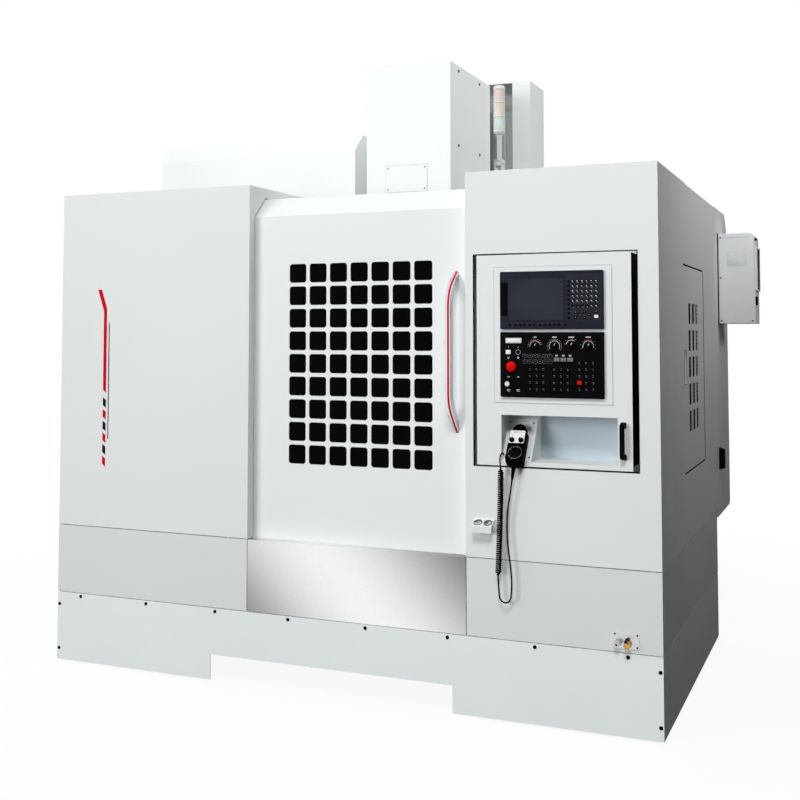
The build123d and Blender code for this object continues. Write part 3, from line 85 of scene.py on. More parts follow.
class Nodes:
    """A node tree, with short calls that add nodes and join them."""

    def __init__(self, owner: bpy.types.Material | bpy.types.World) -> None:
        """Start with an empty tree.

        Args:
            owner: The material or world that the nodes belong to.
        """
        owner.use_nodes = True
        self.tree = owner.node_tree
        self.tree.nodes.clear()

    def feed(self, node: bpy.types.Node, inputs: dict[str | int, object]) -> None:
        """Set a node's inputs to plain values, or join sockets to them.

        Args:
            node: The node.
            inputs: Values and sockets by the input's name or number.
        """
        for key, value in inputs.items():
            if isinstance(value, Socket):
                self.tree.links.new(value, node.inputs[key])
            else:
                node.inputs[key].default_value = value

    def node(self, kind: str, inputs: dict[str | int, object] | None = None, **settings: object) -> bpy.types.Node:
        """Add a node.

        Args:
            kind: Blender's name of the node type, without its first word.
            inputs: Values and sockets by the input's name or number.
            settings: Properties of the node.

        Returns:
            The new node.
        """
        made = self.tree.nodes.new(f"ShaderNode{kind}")
        for key, value in settings.items():
            setattr(made, key, value)
        self.feed(made, inputs or {})
        return made

    def span(self, source: Socket, low: float, high: float, start: float = 0.3, end: float = 0.7,
             **settings: object) -> Socket:
        """Map a value from start..end to low..high.

        Args:
            source: Socket of the value.
            low, high: Limits of the result.
            start, end: Limits of the source.
            settings: Properties of the node.

        Returns:
            The mapped value's socket.
        """
        return self.node("MapRange", {"Value": source, "From Min": start, "From Max": end, "To Min": low,
                                      "To Max": high}, **settings).outputs["Result"]

    def combine(self, operation: str, first: Socket, second: Socket) -> Socket:
        """Add or multiply two shares, and keep the result between 0 and 1."""
        return self.node("Math", {0: first, 1: second}, operation=operation, use_clamp=True).outputs[0]

    def blend(self, share: Socket, first: Color | Socket, second: Color) -> Socket:
        """Mix two colours.

        Args:
            share: Socket that runs from 0 (first) to 1 (second).
            first, second: The colours.

        Returns:
            The mixed colour's socket.
        """
        return self.node("Mix", {"Factor": share, "A": first, "B": second}, data_type="RGBA").outputs["Result"]

    def seen(self) -> Socket:
        """Return a socket that is 1 where the camera sees a surface directly, in a reflection or through glass."""
        path = self.node("LightPath").outputs
        total = self.combine("ADD", path["Is Camera Ray"], path["Is Glossy Ray"])
        return self.combine("ADD", total, path["Is Transmission Ray"])


class Sheet(Nodes):
    """The nodes of one material, round a principled shader."""

    def __init__(self, name: str) -> None:
        """Start a material with its shader and output.

        Args:
            name: Name of the material.
        """
        self.material = bpy.data.materials.new(name)
        super().__init__(self.material)
        self.shader = self.node("BsdfPrincipled")
        self.node("OutputMaterial", {"Surface": self.shader.outputs["BSDF"]})
        self.place = self.node("TexCoord").outputs["Object"]

    def set(self, **values: object) -> None:
        """Set or join the shader's own inputs, with underscores for spaces."""
        self.feed(self.shader, {key.replace("_", " "): value for key, value in values.items()})

    def noise(self, scale: float, detail: float = 2.0, stretch: Triple = Grain.NONE.value) -> Socket:
        """Add noise over the object's own coordinates.

        Args:
            scale: Waves per metre.
            detail: Octaves of finer noise.
            stretch: Factor for each coordinate; a small one draws the noise out along it.

        Returns:
            The noise value's socket.
        """
        place = self.node("Mapping", {"Vector": self.place, "Scale": stretch}).outputs["Vector"]
        return self.node("TexNoise", {"Vector": place, "Scale": scale, "Detail": detail}).outputs["Fac"]

    def bump(self, height: Socket, strength: float, depth: float) -> None:
        """Press a height into the shader's normal.

        Args:
            height: Socket of the height.
            strength: Share of the relief that shows.
            depth: Depth of the relief in metres.
        """
        relief = self.node("Bump", {"Height": height, "Strength": strength, "Distance": depth})
        self.set(Normal=relief.outputs["Normal"])

    def tone(self, color: Color, spread: float, scale: float) -> Socket:
        """Vary a colour a little from place to place.

        Args:
            color: The middle colour.
            spread: Share by which it darkens and lightens.
            scale: Waves per metre.

        Returns:
            The varied colour's socket.
        """
        share = self.span(self.noise(scale, 3.0), 0.0, 1.0)
        return self.blend(share, shade(color, 1 - spread), shade(color, 1 + spread))


@dataclass(frozen=True)
class Finish:
    """A surface finish that makes its own material once."""

    name: str
    slot: str
    shown: Triple
    roughness: float = 0.4

    @property
    def color(self) -> Color:
        """Return the colour in linear light, from how it is shown on a display from 0 to 255."""
        channels = [value / 255 for value in self.shown]
        return tuple(c / 12.92 if c <= 0.04045 else ((c + 0.055) / 1.055) ** 2.4 for c in channels) + (1.0,)

    def material(self) -> bpy.types.Material:
        """Return the finish's material, made at its first use."""
        known = bpy.data.materials.get(self.name)
        if known:
            return known
        sheet = Sheet(self.name)
        self.mix(sheet)
        return sheet.material

    def rough(self, noise: Socket, sheet: Sheet, less: float, more: float) -> Socket:
        """Let the roughness follow a noise.

        Args:
            noise: Socket of the noise.
            sheet: The material's nodes.
            less, more: How far it goes below and above the finish's own roughness.

        Returns:
            The roughness's socket.
        """
        return sheet.span(noise, self.roughness - less, self.roughness + more)

    def mix(self, sheet: Sheet) -> None:
        """Build the material's nodes on a sheet."""
        raise NotImplementedError


@dataclass(frozen=True)
class PowderCoat(Finish):
    """Baked paint on sheet steel: fine orange peel, faint tone changes and patchy darkening towards the floor."""

    peel: float = 420.0
    peel_depth: float = 0.00012
    mottle: float = 0.012
    floor_darkening: float = 0.05
    darkening_height: float = 0.55
    specular: float = 0.001

    def mix(self, sheet: Sheet) -> None:
        """Build the paint's nodes.

        Args:
            sheet: The material's nodes.
        """
        height = sheet.node("SeparateXYZ", {"Vector": sheet.place}).outputs["Z"]
        patch = sheet.combine("MULTIPLY", sheet.span(height, self.floor_darkening, 0.0, 0.0, self.darkening_height),
                              sheet.span(sheet.noise(9.0, 5.0), 0.2, 1.0))
        paint = sheet.tone(self.color, self.mottle, 1.7)
        sheet.set(Base_Color=sheet.blend(patch, paint, shade(self.color, 0.72)),
                  Roughness=self.rough(sheet.noise(5.0, 4.0), sheet, 0.04, 0.05), Specular_IOR_Level=self.specular)
        sheet.bump(sheet.noise(self.peel), 0.22, self.peel_depth)


@dataclass(frozen=True)
class CastPaint(Finish):
    """Thick paint over a sanded casting, with the casting's slight waves showing through."""

    def mix(self, sheet: Sheet) -> None:
        """Build the paint's nodes.

        Args:
            sheet: The material's nodes.
        """
        sheet.set(Base_Color=sheet.tone(self.color, 0.05, 6.0),
                  Roughness=self.rough(sheet.noise(14.0, 4.0), sheet, 0.06, 0.1))
        sheet.bump(sheet.noise(60.0, 6.0), 0.35, 0.0012)


@dataclass(frozen=True)
class BareMetal(Finish):
    """Brushed, ground or turned metal, with its lines along one direction."""

    grain: Grain = Grain.NONE
    lines: float = 900.0
    scratch: float = 0.4
    anisotropy: float = 0.0
    cloud: float = 0.06

    def hue(self, sheet: Sheet) -> Socket:
        """Return the socket of the metal's colour."""
        return sheet.tone(self.color, self.cloud, 4.0)

    def mix(self, sheet: Sheet) -> None:
        """Build the metal's nodes.

        Args:
            sheet: The material's nodes.
        """
        grain = sheet.noise(self.lines, 3.0, self.grain.value)
        swing = self.roughness * self.scratch
        sheet.set(Base_Color=self.hue(sheet), Roughness=self.rough(grain, sheet, swing, swing), Metallic=1.0,
                  Anisotropic=self.anisotropy)
        sheet.bump(grain, 0.12, 0.0001)


@dataclass(frozen=True)
class KickPlateSteel(BareMetal):
    """Brushed stainless sheet of the kick panel, with a painted reflection in its colour: a slanting lighter band
    across its middle, with darker painted shade either side.
    """

    # Factors of the painted shade and the painted highlight in the reflected bands.
    dark: float = 0.25
    light: float = 1.5

    def hue(self, sheet: Sheet) -> Socket:
        """Paint the reflection of the surroundings into the colour, as soft slanting light and dark bands.

        Args:
            sheet: The material's nodes.

        Returns:
            The socket of the sheet's colour.
        """
        # Painted reflection: a diagonal wave blends painted shade into a painted highlight.
        painted_reflection_band = sheet.node("TexWave", {"Vector": sheet.place, "Scale": 0.37, "Distortion": 0.5, "Detail": 1.0,
                                      "Detail Scale": 0.6, "Phase Offset": 4.88}, bands_direction="DIAGONAL")
        return sheet.blend(painted_reflection_band.outputs["Fac"], shade(self.color, self.dark), shade(self.color, self.light))


@dataclass(frozen=True)
class Moulded(Finish):
    """Moulded plastic or rubber with a fine spark-eroded grain."""

    grain: float = 1500.0
    depth: float = 0.00008
    specular: float = 0.06

    def mix(self, sheet: Sheet) -> None:
        """Build the plastic's nodes.

        Args:
            sheet: The material's nodes.
        """
        sheet.set(Base_Color=sheet.tone(self.color, 0.12, 25.0),
                  Roughness=self.rough(sheet.noise(40.0, 4.0), sheet, 0.05, 0.08), Specular_IOR_Level=self.specular)
        sheet.bump(sheet.noise(self.grain, 1.0), 0.3, self.depth)


@dataclass(frozen=True)
class DarkPane(Finish):
    """Dark laminated pane, glossy, with faint wiping marks."""

    smear: float = 0.08
    gloss: float = 0.03

    def mix(self, sheet: Sheet) -> None:
        """Build the pane's nodes.

        Args:
            sheet: The material's nodes.
        """
        wiped = sheet.noise(7.0, 6.0, (1.0, 1.0, 0.4))
        sheet.set(Base_Color=sheet.tone(self.color, 0.25, 3.0),
                  Roughness=self.rough(wiped, sheet, 0.0, self.smear), Specular_IOR_Level=self.gloss)
        sheet.bump(sheet.noise(2.5, 1.0), 0.08, 0.002)


@dataclass(frozen=True)
class Ink(Finish):
    """Screen-printed ink or a small sticker: flat colour with a slightly uneven edge tone."""

    def mix(self, sheet: Sheet) -> None:
        """Build the ink's nodes.

        Args:
            sheet: The material's nodes.
        """
        sheet.set(Base_Color=sheet.tone(self.color, 0.04, 60.0),
                  Roughness=self.rough(sheet.noise(200.0), sheet, 0.0, 0.1), Specular_IOR_Level=0.04)


@dataclass(frozen=True)
class LampLens(Finish):
    """Milky lens of the signal lamp, ribbed inside."""

    def mix(self, sheet: Sheet) -> None:
        """Build the lens's nodes.

        Args:
            sheet: The material's nodes.
        """
        ribs = sheet.node("TexWave", {"Vector": sheet.place, "Scale": 60.0}, bands_direction="Z")
        sheet.set(Base_Color=sheet.tone(self.color, 0.06, 30.0), Roughness=self.roughness, Subsurface_Weight=0.35,
                  Subsurface_Scale=0.02, Coat_Weight=0.5)
        sheet.bump(ribs.outputs["Fac"], 0.3, 0.0008)


class Palette:
    """Every finish of the machine, by the piece that wears it."""

    panel = PowderCoat("panel_paint", "white_paint", (228, 231, 230), 0.36)
    door = PowderCoat("door_paint", "white_paint", (233, 236, 236), 0.34)
    band = PowderCoat("band_paint", "grey_paint", (220, 224, 224), 0.36, floor_darkening=0.08)
    skirt = PowderCoat("skirt_paint", "grey_paint", (234, 239, 239), 0.38, floor_darkening=0.1)
    head = PowderCoat("head_paint", "white_paint", (244, 248, 247), 0.38, floor_darkening=0.0)
    niche = PowderCoat("niche_paint", "white_paint", (194, 206, 214), 0.4, floor_darkening=0.0)
    cooler = PowderCoat("cooler_paint", "white_paint", (238, 239, 241), 0.4, peel=260.0, peel_depth=0.0002)
    black_steel = PowderCoat("black_steel", "black_paint", (24, 25, 26), 0.42, floor_darkening=0.0, mottle=0.1)
    casting = CastPaint("casting_paint", "cast_paint", (170, 178, 176), 0.48)
    iron = BareMetal("ground_iron", "machined_iron", (150, 152, 154), 0.3, Grain.ALONG_X, 700.0)
    steel = BareMetal("turned_steel", "steel", (176, 178, 180), 0.26)
    zinc = BareMetal("zinc_plate", "steel", (196, 198, 200), 0.34, cloud=0.1)
    chrome = BareMetal("handle_chrome", "chrome", (226, 227, 230), 0.14, Grain.ALONG_Z, 500.0, 0.3, 0.2)
    brass = BareMetal("valve_brass", "brass", (196, 158, 92), 0.28, cloud=0.1)
    aluminium = BareMetal("plate_aluminium", "steel", (208, 210, 212), 0.3, Grain.ALONG_X, 800.0)
    stainless = KickPlateSteel("kick_stainless", "stainless", (206, 206, 207), 0.28, Grain.ALONG_Z, 700.0, 0.12, 0.55)
    bezel = Moulded("bezel_plastic", "panel_plastic", (33, 36, 46), 0.38)
    key_field = Moulded("key_field_plastic", "panel_plastic", (40, 41, 48), 0.42)
    panel_film = Moulded("panel_film", "panel_plastic", (10, 10, 12), 0.34, 900.0, specular=0.02)
    key = Moulded("key_plastic", "panel_plastic", (7, 7, 8), 0.3, specular=0.03)
    black = Moulded("moulded_black", "black_plastic", (4, 4, 5), 0.36, specular=0.01)
    knob = Moulded("knob_plastic", "black_plastic", (5, 5, 6), 0.28, specular=0.03)
    red = Moulded("red_button", "red_plastic", (220, 12, 8), 0.26, 700.0)
    white_key = Moulded("white_button", "white_paint", (236, 236, 234), 0.3)
    rubber = Moulded("seal_rubber", "rubber", (3, 3, 3), 0.6, 500.0, 0.0002, 0.005)
    grey_rubber = Moulded("edge_rubber", "rubber", (118, 122, 124), 0.6, 500.0, 0.0002)
    cord = Moulded("cord_rubber", "rubber", (8, 8, 9), 0.42, 900.0, specular=0.01)
    inside = Moulded("dark_mesh", "black_paint", (10, 10, 11), 0.7, 400.0, specular=0.005)
    glass = DarkPane("window_glass", "glass", (2, 2, 3), 0.05)
    screen = DarkPane("display_glass", "screen_glass", (46, 48, 57), 0.16)
    red_band = Ink("red_band", "red_plastic", (204, 8, 26), 0.3)
    dark_band = Ink("dark_band", "black_plastic", (30, 30, 32), 0.3)
    white_ink = Ink("white_ink", "white_paint", (232, 234, 234), 0.5)
    grey_ink = Ink("grey_ink", "grey_paint", (150, 154, 160), 0.5)
    line_ink = Ink("fine_print", "grey_paint", (126, 130, 136), 0.5)
    digits = Ink("number_window", "panel_plastic", (118, 122, 122), 0.25)
    amber_lens = LampLens("lamp_amber_lens", "lamp_plastic", (224, 216, 198), 0.25)
    pale_lens = LampLens("lamp_lens", "lamp_plastic", (226, 230, 230), 0.25)
    red_lens = LampLens("lamp_red_lens", "lamp_plastic", (222, 205, 203), 0.25)
    green_lens = LampLens("lamp_green_lens", "lamp_plastic", (205, 216, 209), 0.25)


def frame_at(origin: Sequence[float], across: Sequence[float], outward: Sequence[float]) -> Matrix:
    """Make the matrix of a plane, in millimetres.

    Args:
        origin: The plane's zero point.
        across: Direction of the plane's own x.
        outward: Direction of its normal.

    Returns:
        The matrix that takes plane coordinates to the part's.
    """
    z = Vector(outward).normalized()
    x = Vector(across)
    x = (x - z * x.dot(z)).normalized()
    matrix = Matrix((x, z.cross(x), z)).transposed().to_4x4()
    matrix.translation = Vector(origin)
    return matrix


class Side(Enum):
    """Sides of the machine, as the directions of a plane's own x and of its normal."""

    FRONT = ((1, 0, 0), (0, -1, 0))
    RIGHT = ((0, 1, 0), (1, 0, 0))
    BACK = ((-1, 0, 0), (0, 1, 0))
    TOP = ((1, 0, 0), (0, 0, 1))

    def at(self, x: float, y: float, z: float) -> Matrix:
        """Return the plane that faces out of this side, with its zero at a point."""
        return frame_at((x, y, z), *self.value)


on_front, on_right, on_back, on_top = (side.at for side in Side)


def spun(plane: Matrix, turn: float) -> Matrix:
    """Turn a plane about its normal, by an angle in radians."""
    return plane @ Matrix.Rotation(turn, 4, "Z")


def on_slope(x: float, along: float, off: float = 0.0) -> Triple:
    """Find a point on or over the niche's sloping plate.

    Args:
        x: The part's own x.
        along: Distance up along the plate.
        off: Height over it.

    Returns:
        The point.
    """
    (_, up_y, up_z), (_, off_y, off_z) = UP_SLOPE, OFF_SLOPE
    return x, CONSOLE_Y + along * up_y + off * off_y, NICHE_Z + along * up_z + off * off_z


def slope_plane(x: float, along: float, off: float = 0.0) -> Matrix:
    """Plane that lies on or over the niche's sloping plate, at a point given as for on_slope."""
    return frame_at(on_slope(x, along, off), (1, 0, 0), OFF_SLOPE)


def centre(*spans: Point) -> tuple[float, ...]:
    """Return the middle of each span."""
    return tuple((low + high) / 2 for low, high in spans)


def extent(*spans: Point) -> tuple[float, ...]:
    """Return the length of each span."""
    return tuple(high - low for low, high in spans)


def polar(radius: float, turn: float) -> Point:
    """Return the point at a radius and an angle in radians."""
    return radius * math.cos(turn), radius * math.sin(turn)


def circle(radius: float, sides: int = 24) -> list[Point]:
    """Outline of a circle about the plane's zero point."""
    return [polar(radius, math.tau * i / sides) for i in range(sides)]


def arc(inner: float, outer: float, start: float, end: float, steps: int = 24) -> list[Point]:
    """Outline of a band that follows part of a circle.

    Args:
        inner, outer: Its radii.
        start, end: Its angles in degrees, counter-clockwise from the plane's x.
        steps: Faces along it.

    Returns:
        The outline's points, counter-clockwise.
    """
    turns = [math.radians(start + (end - start) * i / steps) for i in range(steps + 1)]
    return [polar(outer, turn) for turn in turns] + [polar(inner, turn) for turn in reversed(turns)]


def rounded(width: float, height: float, corner: float, steps: int = 5, at: Point = HERE) -> list[Point]:
    """Outline of a rectangle with round corners.

    Args:
        width, height: Outer size.
        corner: Corner radius.
        steps: Faces in each corner.
        at: Its middle.

    Returns:
        The outline's points, counter-clockwise.
    """
    corner = min(corner, width / 2 - 0.01, height / 2 - 0.01)
    points = []
    for quarter, (sx, sy) in enumerate(((1, 1), (-1, 1), (-1, -1), (1, -1))):
        for step in range(steps + 1):
            x, y = polar(corner, math.pi / 2 * (quarter + step / steps))
            points.append((sx * (width / 2 - corner) + x + at[0], sy * (height / 2 - corner) + y + at[1]))
    return points


def nurbs(name: str, points: Sequence[Triple], resolution: int, unit: float = 1.0) -> bpy.types.Curve:
    """Make an open curve from its first control point to its last.

    Args:
        name: Name of the curve.
        points: Control points in millimetres.
        resolution: Points from one control point to the next.
        unit: Millimetres in the curve's own unit.

    Returns:
        The curve.
    """
    curve = bpy.data.curves.new(name, "CURVE")
    curve.dimensions = "3D"
    curve.resolution_u = resolution
    line = curve.splines.new("NURBS")
    line.points.add(len(points) - 1)
    for knot, (x, y, z) in zip(line.points, points):
        knot.co = (x / unit, y / unit, z / unit, 1.0)
    line.order_u = 3
    line.use_endpoint_u = True
    return curve


def evaluated(curve: bpy.types.Curve) -> bmesh.types.BMesh:
    """Turn a curve or text into mesh data, and drop the object that this takes.

    Args:
        curve: The curve or text.

    Returns:
        Its mesh.
    """
    made = bpy.data.objects.new(curve.name, curve)
    data = bpy.data.meshes.new_from_object(made)
    piece = bmesh.new()
    piece.from_mesh(data)
    bpy.data.objects.remove(made)
    bpy.data.meshes.remove(data)
    return piece


def smooth_route(points: Sequence[Triple]) -> list[Vector]:
    """Turn control points into the points of a smooth curve through their middle, in millimetres."""
    return [vertex.co.copy() for vertex in evaluated(nurbs("route", points, 8)).verts]


def add_object(name: str, data: bpy.types.ID) -> bpy.types.Object:
    """Add an object to the scene.

    Args:
        name: Its name.
        data: Its mesh, curve, light or camera.

    Returns:
        The object.
    """
    made = bpy.data.objects.new(name, data)
    bpy.context.scene.collection.objects.link(made)
    return made


class Shape:
    """A mesh under construction, in the part's millimetres. Its methods return it, so that calls can follow on."""

    def __init__(self) -> None:
        """Start with no faces."""
        self.mesh = bmesh.new()

    def take(self, piece: bmesh.types.BMesh, matrix: Matrix | None = None) -> Self:
        """Join a finished primitive into the shape.

        Args:
            piece: The primitive, which is used up.
            matrix: Where it goes, or none if it is in place.

        Returns:
            The shape itself.
        """
        spare = bpy.data.meshes.new("spare")
        bmesh.ops.recalc_face_normals(piece, faces=piece.faces)
        piece.to_mesh(spare)
        piece.free()
        if matrix is not None:
            spare.transform(matrix)
        self.mesh.from_mesh(spare)
        bpy.data.meshes.remove(spare)
        return self

    def slab(self, x: Point, y: Point, z: Point, edge: float = 0.0) -> Self:
        """Add a block with rounded edges.

        Args:
            x, y, z: Limits along each axis.
            edge: Radius of its edges.

        Returns:
            The shape itself.
        """
        piece = bmesh.new()
        size = extent(x, y, z)
        bmesh.ops.create_cube(piece, size=1.0)
        bmesh.ops.scale(piece, vec=size, verts=piece.verts)
        bmesh.ops.translate(piece, vec=centre(x, y, z), verts=piece.verts)
        if edge:
            bmesh.ops.bevel(piece, geom=piece.edges[:], offset=min(edge, min(size) * 0.49), segments=2, profile=0.5,
                            affect="EDGES")
        return self.take(piece)

    def plate(self, outline: Sequence[Point], plane: Matrix, depth: float, edge: float = 0.0, low: float = 0.0,
              hole: Sequence[Point] = ()) -> Self:
        """Add an outline drawn out of its plane, with its outer edge rounded.

        Args:
            outline: Points in the plane.
            plane: The plane's matrix.
            depth: Thickness along the plane's normal.
            edge: Radius of the top edge.
            low: Height above the plane at which it starts.
            hole: Outline of a hole through it, with as many points as the outline.

        Returns:
            The shape itself.
        """
        piece = bmesh.new()
        foot, top, *inner = [[piece.verts.new((px, py, height)) for px, py in line]
                             for line in ((outline, hole) if hole else (outline,)) for height in (low, low + depth)]
        if not hole:
            piece.faces.new(list(reversed(foot)))
            piece.faces.new(top)
        for i in range(len(outline)):
            j = (i + 1) % len(outline)
            piece.faces.new((foot[i], foot[j], top[j], top[i]))
            if hole:
                under, over = inner
                piece.faces.new((under[j], under[i], over[i], over[j]))
                piece.faces.new((top[i], top[j], over[j], over[i]))
                piece.faces.new((foot[j], foot[i], under[i], under[j]))
        if edge and not hole:
            rim = [e for e in piece.edges if all(v in top for v in e.verts)]
            bmesh.ops.bevel(piece, geom=rim, offset=edge, segments=2, profile=0.5, affect="EDGES")
        return self.take(piece, plane)

    def pad(self, plane: Matrix, at: Point, size: Point, corner: float, depth: float, edge: float = 0.0,
            low: float = 0.0, steps: int = 5) -> Self:
        """Add a flat block with round corners.

        Args:
            plane: The plane that it stands on.
            at: Its middle.
            size: Its width and height.
            corner: Corner radius.
            depth: Thickness along the plane's normal.
            edge: Radius of the top edge.
            low: Height above the plane at which it starts.
            steps: Faces in each corner.

        Returns:
            The shape itself.
        """
        return self.plate(rounded(*size, corner, steps, at), plane, depth, edge, low)

    def rim(self, plane: Matrix, at: Point, size: Point, corners: Point, width: float, depth: float,
            low: float = 0.0) -> Self:
        """Add a flat frame with round corners.

        Args:
            plane: The plane that it stands on.
            at: Its middle.
            size: Its outer width and height.
            corners: Outer and inner corner radius.
            width: Breadth of the frame.
            depth: Thickness along the plane's normal.
            low: Height above the plane at which it starts.

        Returns:
            The shape itself.
        """
        inner = rounded(size[0] - 2 * width, size[1] - 2 * width, corners[1], at=at)
        return self.plate(rounded(*size, corners[0], at=at), plane, depth, low=low, hole=inner)

    def turned(self, plane: Matrix, profile: Sequence[Point], sides: int = 32, hollow: bool = False) -> Self:
        """Add a turned piece about the plane's normal.

        Args:
            plane: Its zero point and axis.
            profile: Pairs of height and radius, from one end to the other.
            sides: Faces round the axis.
            hollow: Whether the last pair joins the first, as in a ring.

        Returns:
            The shape itself.
        """
        piece = bmesh.new()
        rings = [[piece.verts.new((*spot, height)) for spot in (circle(radius, sides) if radius > 0 else [HERE])]
                 for height, radius in profile]
        for low, high in list(zip(rings, rings[1:])) + ([(rings[-1], rings[0])] if hollow else []):
            for i in range(sides):
                j = (i + 1) % sides
                corners = [low[i % len(low)], low[j % len(low)], high[j % len(high)], high[i % len(high)]]
                unique = list(dict.fromkeys(corners))
                if len(unique) > 2:
                    piece.faces.new(unique)
        for ring in () if hollow else (rings[0], rings[-1]):
            if len(ring) > 1:
                piece.faces.new(ring)
        return self.take(piece, plane)

    def tube(self, route: Sequence[Vector], radius: float, sides: int, flat: float) -> Self:
        """Add a flattened tube along points, closed at both ends.

        Args:
            route: Points of its centre line, which doesn't start along x.
            radius: Its wider half-axis.
            sides: Faces round it.
            flat: Share of the other half-axis.

        Returns:
            The shape itself.
        """
        piece = bmesh.new()
        side, rings = Vector((1, 0, 0)), []
        for i, point in enumerate(route):
            tangent = (route[min(i + 1, len(route) - 1)] - route[max(i - 1, 0)]).normalized()
            side = (side - tangent * side.dot(tangent)).normalized()
            other = tangent.cross(side)
            rings.append([piece.verts.new(point + side * a + other * flat * b) for a, b in circle(radius, sides)])
        for low, high in zip(rings, rings[1:]):
            for i in range(sides):
                j = (i + 1) % sides
                piece.faces.new((low[i], low[j], high[j], high[i]))
        piece.faces.new(list(reversed(rings[0])))
        piece.faces.new(rings[-1])
        return self.take(piece)

    def screw(self, plane: Matrix, radius: float, height: float) -> Self:
        """Add a round-headed screw with a hexagon socket.

        Args:
            plane: Its seat, with the normal along its axis.
            radius, height: Size of its head.

        Returns:
            The shape itself.
        """
        socket = radius * 0.48
        return self.turned(plane, [(0, radius), (height * 0.45, radius), (height * 0.85, radius * 0.86),
                                   (height, radius * 0.66), (height, socket), (height * 0.35, socket * 0.98),
                                   (height * 0.3, 0)], 18)

    def caption(self, plane: Matrix, x: float, y: float, words: Sequence[float], height: float) -> Self:
        """Add a line of short raised dashes, as a printed caption looks from a few steps away.

        Args:
            plane: The plane that they are printed on.
            x, y: Middle of the line.
            words: Length of each dash.
            height: Height of the dashes.

        Returns:
            The shape itself.
        """
        gap = 1.1
        left = x - (sum(words) + gap * (len(words) - 1)) / 2
        for length in words:
            self.pad(plane, (left + length / 2, y), (length, height), 0.3, 0.16, steps=1)
            left += length + gap
        return self

    def number(self, plane: Matrix, digits: str, height: float) -> Self:
        """Add plain printed digits, centred on a plane.

        Args:
            plane: The plane, whose y is up for the digits.
            digits: The number.
            height: Height of the digits.

        Returns:
            The shape itself.
        """
        thickness = 0.06
        curve = bpy.data.curves.new("digits", "FONT")
        curve.body = digits
        curve.size = height * 1.35
        curve.align_x = curve.align_y = "CENTER"
        curve.extrude = thickness
        curve.resolution_u = 2
        piece = evaluated(curve)
        bmesh.ops.remove_doubles(piece, verts=piece.verts, dist=0.001)
        return self.take(piece, plane @ Matrix.Translation((0, 0, thickness)))

    def place(self, name: str, body: str, finish: Finish, *names: str) -> None:
        """Turn the shape into an object that rides on a body of the machine.

        Args:
            name: Name of the piece.
            body: The body that it moves with.
            finish: What it is made of.
            names: Solids that it stands for.
        """
        for face in self.mesh.faces:
            face.smooth = True
        for edge in self.mesh.edges:
            if edge.is_manifold and edge.calc_face_angle(0.0) > CREASE:
                edge.smooth = False
        bmesh.ops.scale(self.mesh, vec=(0.001, 0.001, 0.001), verts=self.mesh.verts)
        data = bpy.data.meshes.new(name)
        self.mesh.to_mesh(data)
        self.mesh.free()
        data.materials.append(finish.material())
        piece = add_object(name, data)
        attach(piece, body)
        if names:
            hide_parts(*names)
        log.info("%s on %s, %d faces", name, body, len(data.polygons))


@dataclass
class PendantCord:
    """The handwheel's rubber cord: a plain run, the hanging curly part and the plain tail back to its gland."""

    thickness: float = 6.0
    length: float = 3.5
    coil_radius: float = 8.8
    coil_turns: int = 52
    steps: int = 14
    line_y: float = -1080.0
    anchor: Triple = on_slope(756.0, 22)
    coil: tuple[Point, ...] = ((753, 957), (752, 850), (747, 700), (741, 556))

    def head_points(self) -> list[Triple]:
        """Return the control points of the run from the plate's hole to the coil."""
        first, second = [tuple(a + r * b for a, b in zip(self.anchor, OFF_SLOPE)) for r in (10, 28)]
        return [first, second, (756, -1086, 1013), (754, -1096, 994)]

    def tail_points(self) -> list[Triple]:
        """Return the control points of the plain tail, from the coil's foot to the gland."""
        y = self.line_y
        tip, aim = pendant_gland()
        last = tuple(a + 22 * b for a, b in zip(tip, aim))
        return [(742, y, 527), (744, y, 498), (746, y, 471), (759, y - 1, 457), (778, y - 2, 456), (791, y - 2, 470),
                (793, y - 1, 497), (795, y, 528), (793, y, 562), (789, y, 602), (783, y, 644), (778, y, 690),
                (776, y, 738), (778, y - 1, 786), (784, y - 3, 828), (792, y - 4, 866), last, tip]

    def coil_points(self) -> list[Triple]:
        """Return the helix of the curly part, which ends on its hanging centre line at both ends."""
        line = smooth_route([(x, self.line_y, z) for x, z in self.coil])
        reach = [0.0]
        for a, b in zip(line, line[1:]):
            reach.append(reach[-1] + (b - a).length)
        points = []
        count = self.coil_turns * self.steps
        for i in range(count + 1):
            share = i / count
            want = reach[-1] * share
            k = min(max(j for j, value in enumerate(reach) if value <= want), len(line) - 2)
            middle = line[k].lerp(line[k + 1], (want - reach[k]) / (reach[k + 1] - reach[k]))
            along = (line[k + 1] - line[k]).normalized()
            side = (Vector((1, 0, 0)) - along * along.x).normalized()
            other = along.cross(side)
            swell = min(1.0, share * self.coil_turns / 1.5, (1 - share) * self.coil_turns / 1.5)
            turn = math.tau * self.coil_turns * share
            points.append(tuple(middle + (side * math.cos(turn) + other * math.sin(turn)) * self.coil_radius * swell))
        return points

    def build(self) -> None:
        points = self.head_points() + self.coil_points() + self.tail_points()
        curve = nurbs("pendant_cord", points, 6, 1000)
        curve.bevel_depth = self.thickness / 2000
        curve.bevel_resolution = 2
        curve.use_fill_caps = True
        curve.materials.append(Palette.cord.material())
        piece = add_object("pendant_cord", curve)
        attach(piece, "console")
        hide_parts("cord_head", "curly_cord", "cord_tail")
        log.info("pendant_cord with %d control points", len(points))


def pendant_gland() -> tuple[Triple, Triple]:
    """Return the tip of the pendant's gland and the direction in which the cord leaves it."""
    up, off = Vector(UP_SLOPE), Vector(OFF_SLOPE)
    middle = Vector(on_slope(PENDANT_X, PENDANT_ALONG))
    aim = Vector((-0.14, -0.04, -1)).normalized()
    return tuple(middle - up * GLAND_DOWN + off * GLAND_OFF + aim * GLAND_LENGTH), tuple(aim)


